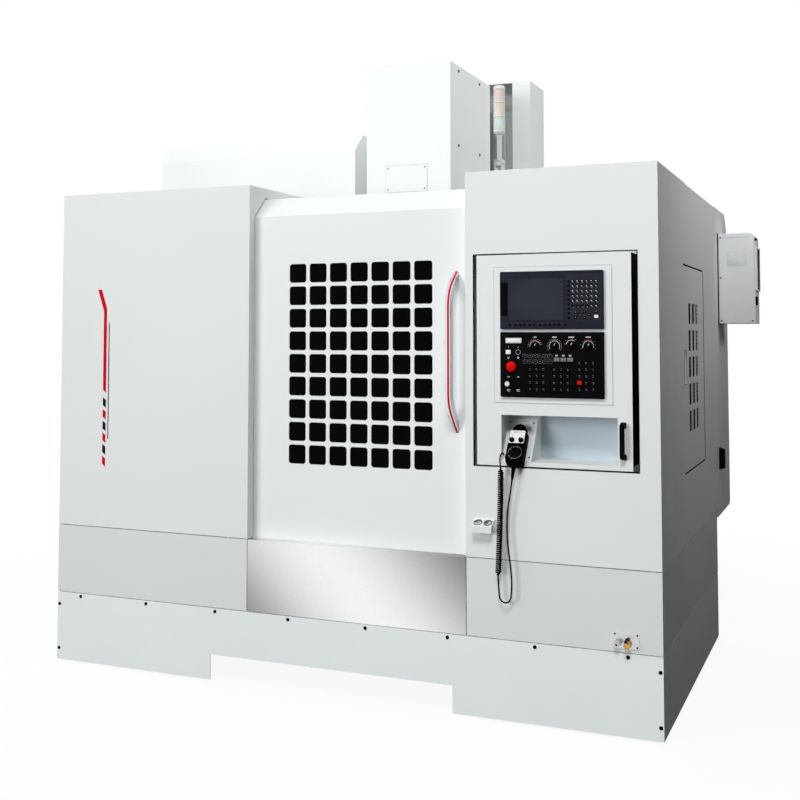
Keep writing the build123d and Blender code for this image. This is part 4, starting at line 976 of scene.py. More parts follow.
@dataclass
class Casing:
    """Outer casing: skirt screws and the stripe on the left cover."""

    screw_z: float = 296.0
    screw_pitch: float = 349.5
    screw_count: int = 8
    screw_size: Point = (7.0, 4.0)
    corner_x: float = 1339.0
    corner_z: Point = (60.0, 255.0)
    stripe_x: Point = (-1118.0, -1101.0)
    stripe_top: float = 1668.0
    dash_top: float = 1150.0
    dash_pitch: float = 52.0
    dash_count: int = 6
    ink_depth: float = 0.3

    def screws(self) -> None:
        """Set the row of black screws along the skirt's top edge and at its corners."""
        shape = Shape()
        spots = [((i - (self.screw_count - 1) / 2) * self.screw_pitch, self.screw_z) for i in range(self.screw_count)]
        spots += [(side * self.corner_x, z) for side in (-1, 1) for z in self.corner_z]
        for x, z in spots:
            shape.screw(on_front(x, FRONT_Y, z), *self.screw_size)
        shape.place("skirt_screw_heads", "machine", Palette.black, "skirt_screws")

    def stripe(self) -> None:
        """Lay a plain slanted stripe with dashes under it on the left cover."""
        plane = on_front(0, FRONT_Y, 0)
        red, dark = Shape(), Shape()
        (x, end), top, depth = self.stripe_x, self.stripe_top, self.ink_depth
        red.plate([(x, 1218), (end, 1206), (end, top - 86), (end - 30, top), (x - 34, top), (x, top - 96)], plane,
                  depth)
        for i in range(self.dash_count):
            low = self.dash_top - i * self.dash_pitch
            (red if i % 2 else dark).plate([(x, low), (end, low - 12), (end, low + 24), (x, low + 36)], plane, depth)
        dark.plate([(x + 27, 1004), (x + 32, 1000), (x + 32, 1510), (x + 27, 1528)], plane, depth)
        red.place("cover_stripe", "machine", Palette.red_band)
        dark.place("cover_stripe_dark", "machine", Palette.dark_band)

    def build(self) -> None:
        """Build every part of the casing."""
        self.screws()
        self.stripe()


@dataclass
class SlidingDoor:
    """The sliding door's grab bar with its red line, and the rubber edge of the door."""

    bar_x: Point = (534.0, 558.0)
    line_x: Point = (545.5, 553.5)
    face_y: float = -1000.0
    front: tuple[Point, ...] = ((-1000.0, 1078.0), (-1103.0, 1190.4), (-1103.0, 1631.9), (-1000.0, 1717.0))
    rear: tuple[Point, ...] = ((-1000.0, 1128.2), (-1069.0, 1203.6), (-1069.0, 1615.8), (-1000.0, 1672.8))
    bends: Point = (130.0, 96.0)
    lip: tuple[Point, Point, Point] = ((596.2, 600.6), (-996, -984), (586, 1962))

    @staticmethod
    def bent(corners: Sequence[Point], radius: float) -> list[Point]:
        """Round the inner corners of a side view's line.

        Args:
            corners: Points as pairs of y and z.
            radius: Radius of each bend.

        Returns:
            The line's points.
        """
        line = [Vector(corners[0])]
        for before, here, after in zip(corners, corners[1:], corners[2:]):
            a, b, c = Vector(before), Vector(here), Vector(after)
            back, ahead = (a - b).normalized(), (c - b).normalized()
            half = back.angle(ahead) / 2
            middle = b + (back + ahead).normalized() * radius / math.sin(half)
            first, last = (b + way * radius / math.tan(half) - middle for way in (back, ahead))
            line += [middle + first.lerp(last, i / 8).normalized() * radius for i in range(9)]
        return [tuple(point) for point in line + [Vector(corners[-1])]]

    def bar(self) -> None:
        """Build the chromed bar, a little shy of the red line that runs along its front."""
        front = [(y + 0.7 if y < self.face_y else y, z) for y, z in self.bent(self.front, self.bends[0])]
        outline = front + self.bent(self.rear, self.bends[1])[::-1]
        (middle,), (width,) = centre(self.bar_x), extent(self.bar_x)
        right = on_right(middle, 0, 0)
        left = right @ Matrix.Rotation(math.pi, 4, "Y") @ Matrix.Scale(-1, 4, (1, 0, 0))
        shape = Shape().plate(outline, right, width / 2, 5.0).plate(outline, left, width / 2, 5.0)
        bmesh.ops.remove_doubles(shape.mesh, verts=shape.mesh.verts, dist=0.01)
        inner = [f for f in shape.mesh.faces if all(abs(v.co.x - middle) < 0.01 for v in f.verts)]
        bmesh.ops.delete(shape.mesh, geom=inner, context="FACES_ONLY")
        bmesh.ops.recalc_face_normals(shape.mesh, faces=shape.mesh.faces)
        shape.place("grab_bar", "sliding_door", Palette.chrome, "door_handle")

    def build(self) -> None:
        """Build the bar, the red line along its whole front and the rubber lip of the closing edge."""
        self.bar()
        front = self.bent(self.front, self.bends[0])
        outline = front + [(y + 2.5, z) for y, z in reversed(front)]
        line = Shape().plate(outline, on_right(self.line_x[0], 0, 0), *extent(self.line_x))
        line.place("handle_red_line", "sliding_door", Palette.red_band)
        lip = Shape().slab(*self.lip, 1.6)
        lip.place("door_edge_rubber", "sliding_door", Palette.rubber)


@dataclass
class DisplayUnit:
    """The control's display: housing, screen, memory-card doors and three groups of keys."""

    x: Point = (749.0, 1149.0)
    z: Point = (1486.0, 1706.0)
    screen_middle: Point = (889.0, 1600.0)
    screen_size: Point = (216.0, 160.0)
    key_field: tuple[Point, Point] = ((1009.0, 1142.0), (1512.0, 1693.0))
    soft_key_x: tuple[float, ...] = (788, 811, 829, 847, 866, 884, 908, 927, 945, 963, 982, 1004)
    soft_key_z: float = 1502.0
    card_doors: tuple[tuple[Point, Point], ...] = (((764, 1619), (29, 92)), ((764, 1554.5), (29, 34)))
    key_start: Point = (1035.0, 1664.0)
    key_pitch: Point = (17.8, 18.5)
    key_rows: int = 6
    key_columns: int = 6
    side_key_start: Point = (1018.0, 1665.0)
    side_key_pitch: float = 17.1
    side_key_count: int = 9
    white_key: Point = (1122, 1533)
    cursor_keys: tuple[Point, ...] = ((1044, 1550), (1078, 1550), (1122, 1552), (1061, 1540), (1096, 1540),
                                      (1044, 1529), (1078, 1529))
    rim_height: float = 13.0

    def housing(self) -> None:
        """Build the housing as a frame round the screen, with its raised rim, card doors and key fields."""
        plane = on_front(0, CONSOLE_Y, 0)
        middle, size, high = centre(self.x, self.z), extent(self.x, self.z), self.rim_height
        outline = rounded(*size, 5, at=middle)
        hole = rounded(self.screen_size[0] + 2, self.screen_size[1] + 2, 5, at=self.screen_middle)
        shape = Shape().plate(outline, plane, 10.0).plate(outline, plane, 3.0, low=10.0, hole=hole)
        shape.rim(plane, middle, size, (5, 4), 4, 0.5, high)
        shape.place("display_housing", "console", Palette.bezel, "display_unit")
        cover = Shape()
        for at, cover_size in self.card_doors:
            cover.pad(plane, at, cover_size, 2, 2.2, 0.6, high)
        cover.place("card_doors", "console", Palette.key)
        field = Shape().pad(plane, centre(*self.key_field), extent(*self.key_field), 4, 0.7, 0.3, high)
        field.pad(plane, (896, self.soft_key_z), (238, 19), 3, 0.7, 0.3, high)
        field.place("key_fields", "console", Palette.key_field)

    def screen(self) -> None:
        """Build the screen's pane, sunk a little into the housing."""
        shape = Shape().pad(on_front(0, CONSOLE_Y - 10, 0), self.screen_middle, self.screen_size, 4, 2.6, 0.3)
        shape.place("display_pane", "console", Palette.screen, "display_screen")

    def keys(self) -> None:
        """Build the keys and their small printed marks."""
        caps, marks = Shape(), Shape()
        face, top = on_front(0, UNIT_Y - 0.2, 0), on_front(0, UNIT_Y - 2.4, 0)
        spots = []
        for row in range(self.key_rows):
            for column in range(self.key_columns):
                x, z = self.key_start[0] + self.key_pitch[0] * column, self.key_start[1] - self.key_pitch[1] * row
                spots.append((x, z, 12.5, 12.0))
                if row + 1 < self.key_rows or column > 3:
                    marks.caption(top, x - 1.5, z + 1.8, (3.2 + (row + column) % 3, ), 2.6)
                marks.caption(top, x + 1.5, z - 3.2, (1.6, 2.2) if (row * 5 + column) % 2 else (3.4, ), 1.3)
        side_x, side_z = self.side_key_start
        spots += [(side_x, side_z - self.side_key_pitch * i, 9.5, 9.5) for i in range(self.side_key_count)]
        spots += [(x, self.soft_key_z, 9.5, 8.5) for x in self.soft_key_x]
        for i, (x, z) in enumerate(self.cursor_keys):
            spots.append((x, z, 12.0, 9.0))
            marks.caption(top, x, z, (2.6, ) if i % 2 else (1.4, 1.4), 1.4)
        for x, z, width, height in spots:
            caps.pad(face, (x, z), (width, height), 1.6, 2.2, 0.5, steps=3)
        caps.place("display_keys", "console", Palette.key)
        marks.place("display_key_marks", "console", Palette.white_ink)
        Shape().pad(face, self.white_key, (15, 11), 2, 2.2, 0.6).place("white_key", "console", Palette.white_key)

    def build(self) -> None:
        """Build the whole display unit."""
        self.housing()
        self.screen()
        self.keys()


@dataclass(frozen=True)
class Selector:
    """A rotary selector: its body, its place and the printed scale round it."""

    body: str
    x: float
    z: float
    scale: Point
    red: tuple[Point, ...]
    ticks: int
    words: tuple[float, ...]


@dataclass
class OperatorPanel:
    """The machine's own panel: selectors with their scales, stop and start keys, lamps and key blocks."""

    selectors: tuple[Selector, ...] = (
        Selector("mode_selector", 887, 1422, (14, 186), ((98, 122), (28, 62), (150, 178)), 11, (2.5, 6.0)),
        Selector("feed_selector", 962, 1422, (-30, 210), ((-30, 24), (70, 108)), 16, (7.0, 9.0)),
        Selector("rapid_selector", 1027, 1425, (52, 168), ((58, 92), (118, 150)), 5, (6.0, 9.0, 4.0)),
        Selector("spindle_selector", 1091, 1422, (-16, 196), ((50, 76), (104, 132)), 9, (5.0, 5.0, 7.0)),
    )
    blocks: tuple[tuple[tuple[float, ...], tuple[float, ...]], ...] = (
        ((867, 893, 919), (1335, 1310, 1285, 1260)),
        ((961, 987, 1013), (1335, 1310, 1285, 1260)),
        ((1057, 1083, 1109), (1360, 1336, 1311, 1286, 1262)),
    )
    red_key: Point = (1057, 1286)
    lit_keys: tuple[tuple[float, ...], tuple[float, ...]] = ((847, 867, 887, 906, 926, 945), (1385, 1364))
    windows_x: tuple[float, ...] = (970, 996, 1022)
    window_z: float = 1372
    middle: Point = (949, 1351.5)
    size: Point = (400, 247)
    name_plate: Point = (802, 1443)
    white_lamp: Point = (781, 1399)
    caption_x: Point = (782, 820)
    captions: tuple[tuple[float, tuple[float, ...], float], ...] = (
        (1379, (4.0, 2.5), 2.6), (1375, (5.0, ), 1.5), (1418, (1.8, ), 2.6), (1305, (3.0, 4.0), 2.4),
        (1256, (6.0, 5.0), 2.0), (1251, (4.0, 6.0), 1.6))
    stop: Point = (796, 1344)
    start: Point = (777.5, 1278)
    ring: Point = (820, 1399)
    black_key: Point = (820, 1277)

    def plate(self) -> None:
        """Build the panel's body with a fine raised rim."""
        (x, z), (width, height) = self.middle, self.size
        plane = on_front(x, CONSOLE_Y, z)
        shape = Shape().pad(plane, HERE, self.size, 4, PANEL_DEPTH, 0.8)
        shape.rim(plane, HERE, (width - 1, height - 1), (4, 3), 2.5, 0.5, PANEL_DEPTH)
        shape.place("operator_plate", "console", Palette.panel_film, "operator_panel")

    def block_keys(self) -> None:
        """Build the three blocks of keys with their marks."""
        face, top = on_front(0, PANEL_Y, 0), on_front(0, PANEL_Y - 2.2, 0)
        caps, marks = Shape(), Shape()
        for b, (columns, rows) in enumerate(self.blocks):
            for i, x in enumerate(columns):
                for j, z in enumerate(rows):
                    caps.pad(face, (x, z), (21, 20), 2, 2.2, 0.7)
                    if (x, z) == self.red_key:
                        inlay = Shape().pad(top, (x, z), (16, 14), 2, 0.6, 0.3)
                        inlay.place("red_panel_key", "console", Palette.red)
                        continue
                    seed = i * 7 + j * 3 + b * 5
                    marks.caption(top, x - 0.5, z + 2.4 - seed % 2, (2.2 + seed % 3, 1.6), 1.3)
                    marks.caption(top, x + 0.5, z - 3.4, (3.4, 2.0) if seed % 3 else (4.6, ), 0.9)
        caps.place("panel_keys", "console", Palette.key)
        marks.place("panel_key_marks", "console", Palette.grey_ink)

    def scales(self) -> None:
        """Print the scales and captions of the selectors."""
        white, red = Shape(), Shape()
        for knob in self.selectors:
            start, end = knob.scale
            plane = on_front(knob.x, PANEL_Y, knob.z)
            white.plate(arc(19.6, 20.8, start, end), plane, 0.2)
            for low, high in knob.red:
                for i in range(3):
                    spot = polar(24.2, math.radians(low + (high - low) * i / 2))
                    red.pad(plane, spot, (2.6, 2.2), 0.5, 0.2, steps=1)
            for i in range(knob.ticks):
                spot = polar(27.5, math.radians(start + (end - start) * i / (knob.ticks - 1)))
                white.pad(plane, spot, (1.7, 1.2), 0.3, 0.2, steps=1)
            white.caption(on_front(0, PANEL_Y, 0), knob.x, 1456, knob.words, 3.0)
        white.place("scale_print", "console", Palette.white_ink)
        red.place("scale_print_red", "console", Palette.red_band)

    def knobs(self) -> None:
        """Build each selector as a round skirt with a grip across it and a white pointer."""
        for knob in self.selectors:
            plane = spun(on_front(knob.x, PANEL_Y - 1.2, knob.z), math.radians(55))
            shape = Shape().turned(plane, [(0, 15), (1.5, 15), (3.5, 13.6), (5.5, 12.8), (5.5, 0)], 36)
            shape.pad(plane, HERE, (26, 10.5), 4.5, 11.5, 1.8, 4.5)
            shape.place(f"{knob.body}_knob", knob.body, Palette.knob, knob.body)
            mark = Shape().pad(plane, (8, 0), (9, 1.6), 0.4, 0.2, low=16.0, steps=1)
            mark.place(f"{knob.body}_pointer", knob.body, Palette.white_ink)

    def stop_button(self) -> None:
        """Build the red mushroom button with its hollow collar."""
        x, z = self.stop
        collar = Shape().turned(on_front(x, PANEL_Y, z), [(0, 6.9), (0, 15.3), (2.0, 15.3), (3.2, 14.2), (5.4, 13.6),
                                                          (5.4, 6.9)], 36, hollow=True)
        collar.place("stop_collar", "console", Palette.black)
        cap = Shape().turned(on_front(x, PANEL_Y - 0.2, z), [
            (5.6, 0), (5.6, 6.2), (12.4, 6.2), (12.4, 15.8), (6.0, 16.2), (6.0, 17.5), (8.2, 19.6), (10.6, 20),
            (13.4, 19.2), (16.2, 16.6), (18.2, 12), (19.4, 6), (19.8, 0)], 48)
        cap.place("stop_cap", "stop_button", Palette.red, "stop_button")

    def small_parts(self) -> None:
        """Build the blank name plate, the lamp, the ring key, the start key, the black key and the windows."""
        face, start = on_front(0, PANEL_Y, 0), on_front(self.start[0], PANEL_Y, self.start[1])
        round_key = on_front(self.ring[0], PANEL_Y, self.ring[1])
        white, ring, dark, mark, grey = Shape(), Shape(), Shape(), Shape(), Shape()
        white.pad(face, self.name_plate, (62, 19), 1.5, 0.8, 0.2).pad(face, self.white_lamp, (19, 16), 2, 2.4, 0.6)
        white.turned(start, [(0, 9.6), (6, 9.6), (7, 8.8), (7.4, 6), (7.4, 0)], 36)
        mark.rim(face, self.name_plate, (58, 15), (1, 0.8), 0.8, 0.2, 0.8)
        ring.plate(circle(9.6), round_key, 0.5, hole=circle(8.6))
        dark.turned(start, [(0, 12.6), (5.0, 12.6), (6.2, 11.6), (6.2, 0)], 36)
        dark.turned(round_key, [(0, 7.6), (2.2, 7.6), (3, 6.6), (3, 0)], 24)
        dark.pad(face, self.black_key, (31, 27), 2, 1.4, 0.4).pad(face, self.black_key, (24, 20), 2, 3.2, 0.8, 1.2)
        for x in self.caption_x:
            for z, words, height in self.captions:
                white.caption(face, x, z, words, height)
        for x in self.lit_keys[0]:
            for z in self.lit_keys[1]:
                mark.rim(face, (x, z), (17.0, 15.0), (4.6, 4.2), 0.4, 0.3).caption(face, x, z + 1, (3.4, 1.6), 1.3)
        for x in self.windows_x:
            for side in (-1, 1):
                grey.pad(face, (x + side * 5.6, self.window_z), (10.4, 14), 1, 0.5, 0.1)
            white.caption(face, x, self.window_z + 16, (4.0, 5.0), 2.2)
            white.caption(face, x, self.window_z + 12, (3.0, 3.0), 1.4)
        white.place("panel_white_parts", "console", Palette.white_key)
        ring.place("panel_rings", "console", Palette.zinc)
        dark.place("panel_dark_keys", "console", Palette.key)
        mark.place("name_plate_line", "console", Palette.grey_ink)
        grey.place("number_windows", "console", Palette.digits)

    def build(self) -> None:
        """Build the whole panel."""
        self.plate()
        self.block_keys()
        self.scales()
        self.knobs()
        self.stop_button()
        self.small_parts()


@dataclass
class Console:
    """Swinging console: the black seal round its plate with black strips of painted shade behind it, the inner plate's
    shadow line, the pull and the niche's lining.
    """

    x: Point = (650.0, 1250.0)
    z: Point = (966.0, 1772.0)
    inner_x: Point = (721.0, 1178.0)
    inner_z: Point = (1206.0, 1725.0)
    niche_x: Point = (864.0, 1195.0)
    niche_z: Point = (983.0, 1159.0)
    niche_back: float = -900.0
    niche_screws: tuple[Point, ...] = ((755, 171), (849, 169), (760, 21), (855, 20))
    opening_middle: Point = (954, 1369)
    opening_size: Point = (640, 818)
    pull_x: float = 1216.0
    pull_z: Point = (1006.0, 1144.0)

    def seals(self) -> None:
        """Edge the opening of the cover with rubber and back the console's plate with black strips of painted shade,
        which darken the gaps round the plate and the box's side seen through them.
        """
        plane = on_front(0, FRONT_Y + 6, 0)
        edge = Shape().rim(plane, self.opening_middle, self.opening_size, (2, 2), 3.5, 7.4)
        edge.place("console_opening_edge", "machine", Palette.rubber)
        z = (self.z[0] + 2, self.z[1] - 2)
        # Painted shade: black strips behind the plate's edges and on the box's side, where the gaps are only in shade.
        foam = Shape().slab((self.x[0] + 1.5, self.x[0] + 17.6), (FRONT_Y + 0.2, FRONT_Y + 16), z, 1.0)
        foam.slab((self.x[1] - 14.6, self.x[1] - 1.0), (FRONT_Y + 0.2, FRONT_Y + 20), z, 1.0)
        foam.slab((1235.1, 1237.0), (-1049.8, -875.0), (975, 1774), 0.6)
        foam.place("console_gap_shade", "console", Palette.rubber)

    def inner_line(self) -> None:
        """Draw the fine shadow line round the inner plate."""
        width, height = extent(self.inner_x, self.inner_z)
        shape = Shape().rim(on_front(0, CONSOLE_Y - 1.5, 0), centre(self.inner_x, self.inner_z),
                            (width + 1.6, height + 1.6), (3, 2.6), 1.2, 0.15)
        shape.place("inner_plate_line", "console", Palette.grey_ink)

    def pull(self) -> None:
        """Build the black moulded pull with its two flat feet."""
        low, high = self.pull_z
        route = smooth_route([(self.pull_x, y, z) for y, z in (
            (-1053, low + 10), (-1064, low + 10), (-1080, low + 9), (-1081, low + 28), (-1081, low + 50),
            (-1081, high - 50), (-1081, high - 28), (-1080, high - 9), (-1064, high - 10), (-1053, high - 10))])
        shape = Shape().tube(route, 9.6, 16, 0.78)
        for z in (low + 11, high - 11):
            shape.pad(on_front(self.pull_x, CONSOLE_Y, z), HERE, (23, 22), 6, 5.0, 1.5)
        shape.place("console_pull", "console", Palette.knob, "console_handle")

    def niche(self) -> None:
        """Line the niche and screw the sloping plate down."""
        x, z = [(low + 0.4, high - 0.4) for low, high in (self.niche_x, self.niche_z)]
        back = Shape().slab(x, (self.niche_back - 0.9, self.niche_back - 0.1), z)
        back.place("niche_back", "console", Palette.niche)
        screws = Shape()
        for spot in self.niche_screws:
            screws.screw(slope_plane(*spot), 3.6, 2.2)
        screws.place("niche_screws", "console", Palette.black)

    def build(self) -> None:
        """Build the console's added pieces."""
        self.seals()
        self.inner_line()
        self.pull()
        self.niche()


@dataclass
class Pendant:
    """Hand pulse generator: body, white plate with two knobs, hand dial with its scale, and the cord's gland."""

    gap: float = 0.8
    thickness: float = 32.0
    width: float = 70.0
    dial_place: Point = (2.0, -43.0)
    dial_radius: float = 29.7
    knurls: int = 60
    dial_steps: int = 50
    dial_numbers: int = 10
    side_ribs: int = 6
    knob_flutes: int = 14
    knob_places: tuple[tuple[str, float, float], ...] = (("axis_knob", -20.0, 13.5), ("step_knob", 16.0, 13.5))
    plate_place: Point = (-3.0, 29.0)

    def plane(self, x: float = 0.0, up: float = 0.0, off: float = 0.0) -> Matrix:
        """Plane over the body, at a place relative to its middle and at a height over its top."""
        return slope_plane(PENDANT_X + x, PENDANT_ALONG + up, self.gap + self.thickness + off)

    def body(self) -> None:
        """Build the body with its narrower rounded head, ribbed sides and white plate."""
        base = self.plane(off=-self.thickness)
        shape = Shape().pad(base, (0, -13), (self.width, 150), 21, self.thickness, 4.5, steps=7)
        shape.pad(base, (0, 57), (52, 62), 25, self.thickness - 2.5, 4.5, steps=7)
        for side in (-1, 1):
            for i in range(self.side_ribs):
                shape.pad(base, (side * (self.width / 2 - 0.6), -34 + i * 9), (2.2, 4.5), 1.1, self.thickness - 9, 1.0,
                          4.0, 3)
        shape.place("pendant_body", "console", Palette.black, "handwheel_body")
        plate = Shape().pad(self.plane(*self.plate_place), HERE, (61, 54), 4, 1.0, 0.3)
        plate.place("pendant_plate", "console", Palette.white_key)

    def scales(self) -> None:
        """Print the small scales of the two knobs and the lines above them."""
        top = self.plane(off=1.0)
        middle = self.plate_place[0]
        marks = Shape().caption(top, middle, 51, (9.0, 14.0, 8.0), 1.3)
        marks.caption(top, middle, 46.5, (12.0, 7.0, 11.0), 1.3)
        for count, (_, x, y) in zip((5, 4), self.knob_places):
            for i in range(count):
                dx, dy = polar(13.5, math.radians(30 + 120 * i / (count - 1)))
                marks.pad(top, (x + dx, y + dy), (1.2, 1.2), 0.3, 0.15, steps=1)
            marks.caption(top, x, 34, (2.4, 3.4), 1.5)
        marks.place("pendant_print", "console", Palette.line_ink)

    def knobs(self) -> None:
        """Build the two small pointer knobs."""
        for body, x, y in self.knob_places:
            plane = self.plane(x, y, 1.3)
            shape = Shape().turned(plane, [(0, 10), (2.2, 10), (3.6, 8.8), (11.4, 7.8), (12.6, 6.6), (12.9, 0)], 28)
            for i in range(self.knob_flutes):
                flute = spun(plane, math.tau * i / self.knob_flutes)
                shape.pad(flute, (8.3, 0), (1.6, 1.6), 0.7, 7.6, 0.3, 3.2, 2)
            shape.place(f"{body}_cap", body, Palette.knob, body)
            mark = Shape().pad(plane, (0, 3.6), (0.9, 5.5), 0.3, 0.12, low=12.86, steps=1)
            mark.place(f"{body}_pointer", body, Palette.white_ink)

    def dial(self) -> None:
        """Build the knurled dial with its hundred-step scale, numbers and crank knob."""
        plane = self.plane(*self.dial_place, 0.4)
        shape = Shape().turned(plane, [(0, 28.6), (0.6, 29.5), (1.6, 29.9), (6.0, 29.9), (7.2, 29.0), (7.6, 27.8),
                                       (7.6, 20.8), (8.9, 19.8), (8.9, 0)], 72)
        for i in range(self.knurls):
            turned = spun(plane, math.tau * i / self.knurls)
            shape.pad(turned, (self.dial_radius, 0), (1.0, 1.5), 0.4, 4.2, low=1.7, steps=1)
        crank = plane @ Matrix.Translation((17, 8, 0))
        shape.turned(crank, [(8.8, 3.2), (10.4, 3.2), (10.4, 5), (17.4, 4.8), (18.6, 4.0), (18.9, 0)], 24)
        shape.place("hand_dial", "handwheel_dial", Palette.knob, "handwheel_dial")
        marks = Shape()
        top = 7.6
        for i in range(self.dial_steps):
            long = 3.6 if i % 5 == 0 else 2.0
            seat = spun(plane, math.tau * i / self.dial_steps)
            marks.pad(seat, (27.6 - long / 2, 0), (long, 0.55), 0.1, 0.15, low=top, steps=1)
        for i in range(self.dial_numbers):
            seat = spun(plane, math.tau * i / self.dial_numbers - math.pi / 2) @ Matrix.Translation((0, 22.4, top))
            marks.number(seat, str(i * 10), 1.9)
        marks.place("hand_dial_scale", "handwheel_dial", Palette.white_ink)

    def gland(self) -> None:
        """Build the ribbed strain relief at the body's foot."""
        tip, aim = pendant_gland()
        start = tuple(a - GLAND_LENGTH * b for a, b in zip(tip, aim))
        profile = [(3, 0), (3, 8.6), (7, 8.6)]
        for i in range(8):
            z, r = 9 + i * 5.4, 8.6 - i * 0.5
            profile += [(z, r), (z + 2.9, r - 0.25), (z + 3.3, r - 1.1), (z + 5.0, r - 1.2)]
        profile += [(53.6, 4.3), (GLAND_LENGTH, 3.2), (GLAND_LENGTH, 0)]
        down = tuple(-value for value in UP_SLOPE)
        boot = Shape().turned(frame_at(start, (1, 0, 0), down), [(-1, 0), (-1, 9), (7, 9), (8, 8), (8, 0)], 28)
        boot.turned(frame_at(start, (1, 0, 0), aim), profile, 28)
        boot.place("pendant_gland", "console", Palette.rubber, "handwheel_gland")

    def build(self) -> None:
        """Build the whole hand pulse generator."""
        self.body()
        self.scales()
        self.knobs()
        self.dial()
        self.gland()


@dataclass
class GunHolder:
    """Bracket of the air and coolant guns, with rubber edges in its two holes."""

    middle: Triple = (678.0, -1071.4, 748.3)
    outward: Triple = (0, -0.496, 0.868)
    hole_offset: float = 20.0
    hole_radius: float = 16.0

    def build(self) -> None:
        """Edge the two holes."""
        (x, y, z), radius = self.middle, self.hole_radius
        edges = Shape()
        for side in (-1, 1):
            edges.turned(frame_at((x + side * self.hole_offset, y, z), (1, 0, 0), self.outward), [
                (-4, radius - 0.4), (0.1, radius - 0.4), (0.1, radius + 1.8), (1.0, radius + 1.4),
                (1.3, radius + 0.2), (0.9, radius - 1.6), (-4, radius - 1.8)], 32, hollow=True)
        edges.place("gun_hole_edges", "machine", Palette.grey_rubber)


@dataclass
class ServicePoint:
    """Service plate at the lower right: air coupler, ball valve with its lever, and four screws."""

    plate_x: float = 1217.0
    plate_z: float = 355.0
    pipe_z: float = 345.0
    air_x: float = 1188.0
    water_x: float = 1226.0
    plate_size: Point = (96, 58)
    plate_depth: float = 2.0
    screw_reach: Point = (41, 22)
    lever_y: float = -1072.0
    lever_z: float = 362.6

    def fittings(self) -> None:
        """Build the air coupler and the ball valve with their dark bores."""
        air, water = [on_front(x, FRONT_Y - self.plate_depth, self.pipe_z) for x in (self.air_x, self.water_x)]
        coupler = Shape().turned(air, [
            (0, 4.2), (0, 13.0), (2.5, 13.0), (3.0, 11), (13, 11), (14, 13), (24.5, 13), (26, 12), (26.4, 8.4),
            (31, 8.2), (32, 7.2), (32, 4.0)], 36, hollow=True)
        coupler.plate(circle(14.5, 6), air, 5.0, 0.8, low=2.0).place("air_coupler", "machine", Palette.zinc)
        bore = Shape().turned(air, [(4, 4.1), (12, 4.1), (12, 0)], 20)
        bore.turned(water, [(4, 6.2), (20, 6.2), (20, 0)], 20).place("fitting_bores", "machine", Palette.rubber)
        valve = Shape().turned(water, [
            (0, 6.4), (0, 13), (3, 13), (3, 10), (9, 10), (12, 11.6), (16, 12.9), (20, 13.1), (24, 12.9), (28, 11.2),
            (30, 10), (39, 10), (40, 9.2), (40, 6.2)], 36, hollow=True)
        valve.plate(circle(12.6, 6), water, 8.0, 0.8, low=31.0)
        stem = on_top(self.water_x, self.lever_y, self.pipe_z + 8)
        valve.turned(stem, [(0, 7), (6, 7), (6.4, 5.6), (9, 5.6), (9, 0)], 24)
        valve.place("ball_valve", "machine", Palette.brass)

    def build(self) -> None:
        """Build the plate, the two fittings and the lever."""
        plate = Shape().pad(on_front(self.plate_x, FRONT_Y, self.plate_z), HERE, self.plate_size, 4, self.plate_depth,
                            0.5)
        plate.place("service_sheet", "machine", Palette.aluminium, "service_plate")
        screws, (reach_x, reach_z) = Shape(), self.screw_reach
        for x in (self.plate_x - reach_x, self.plate_x + reach_x):
            for z in (self.plate_z - reach_z, self.plate_z + reach_z):
                screws.screw(on_front(x, FRONT_Y - self.plate_depth, z), 3.5, 2.4)
        screws.place("service_screws", "machine", Palette.black)
        self.fittings()
        plane = on_top(self.water_x, self.lever_y, self.lever_z)
        lever = Shape().turned(plane, [(0, 8), (0.4, 8.4), (4.4, 8.4), (5, 7.6), (5, 3.2), (6.6, 3.2), (7, 2.6),
                                       (7, 0)], 24)
        lever.pad(plane, (0, -20.4), (10, 41), 4, 4.6, 1.2, 0.2)
        lever.place("valve_handle", "valve_lever", Palette.knob, "valve_lever")


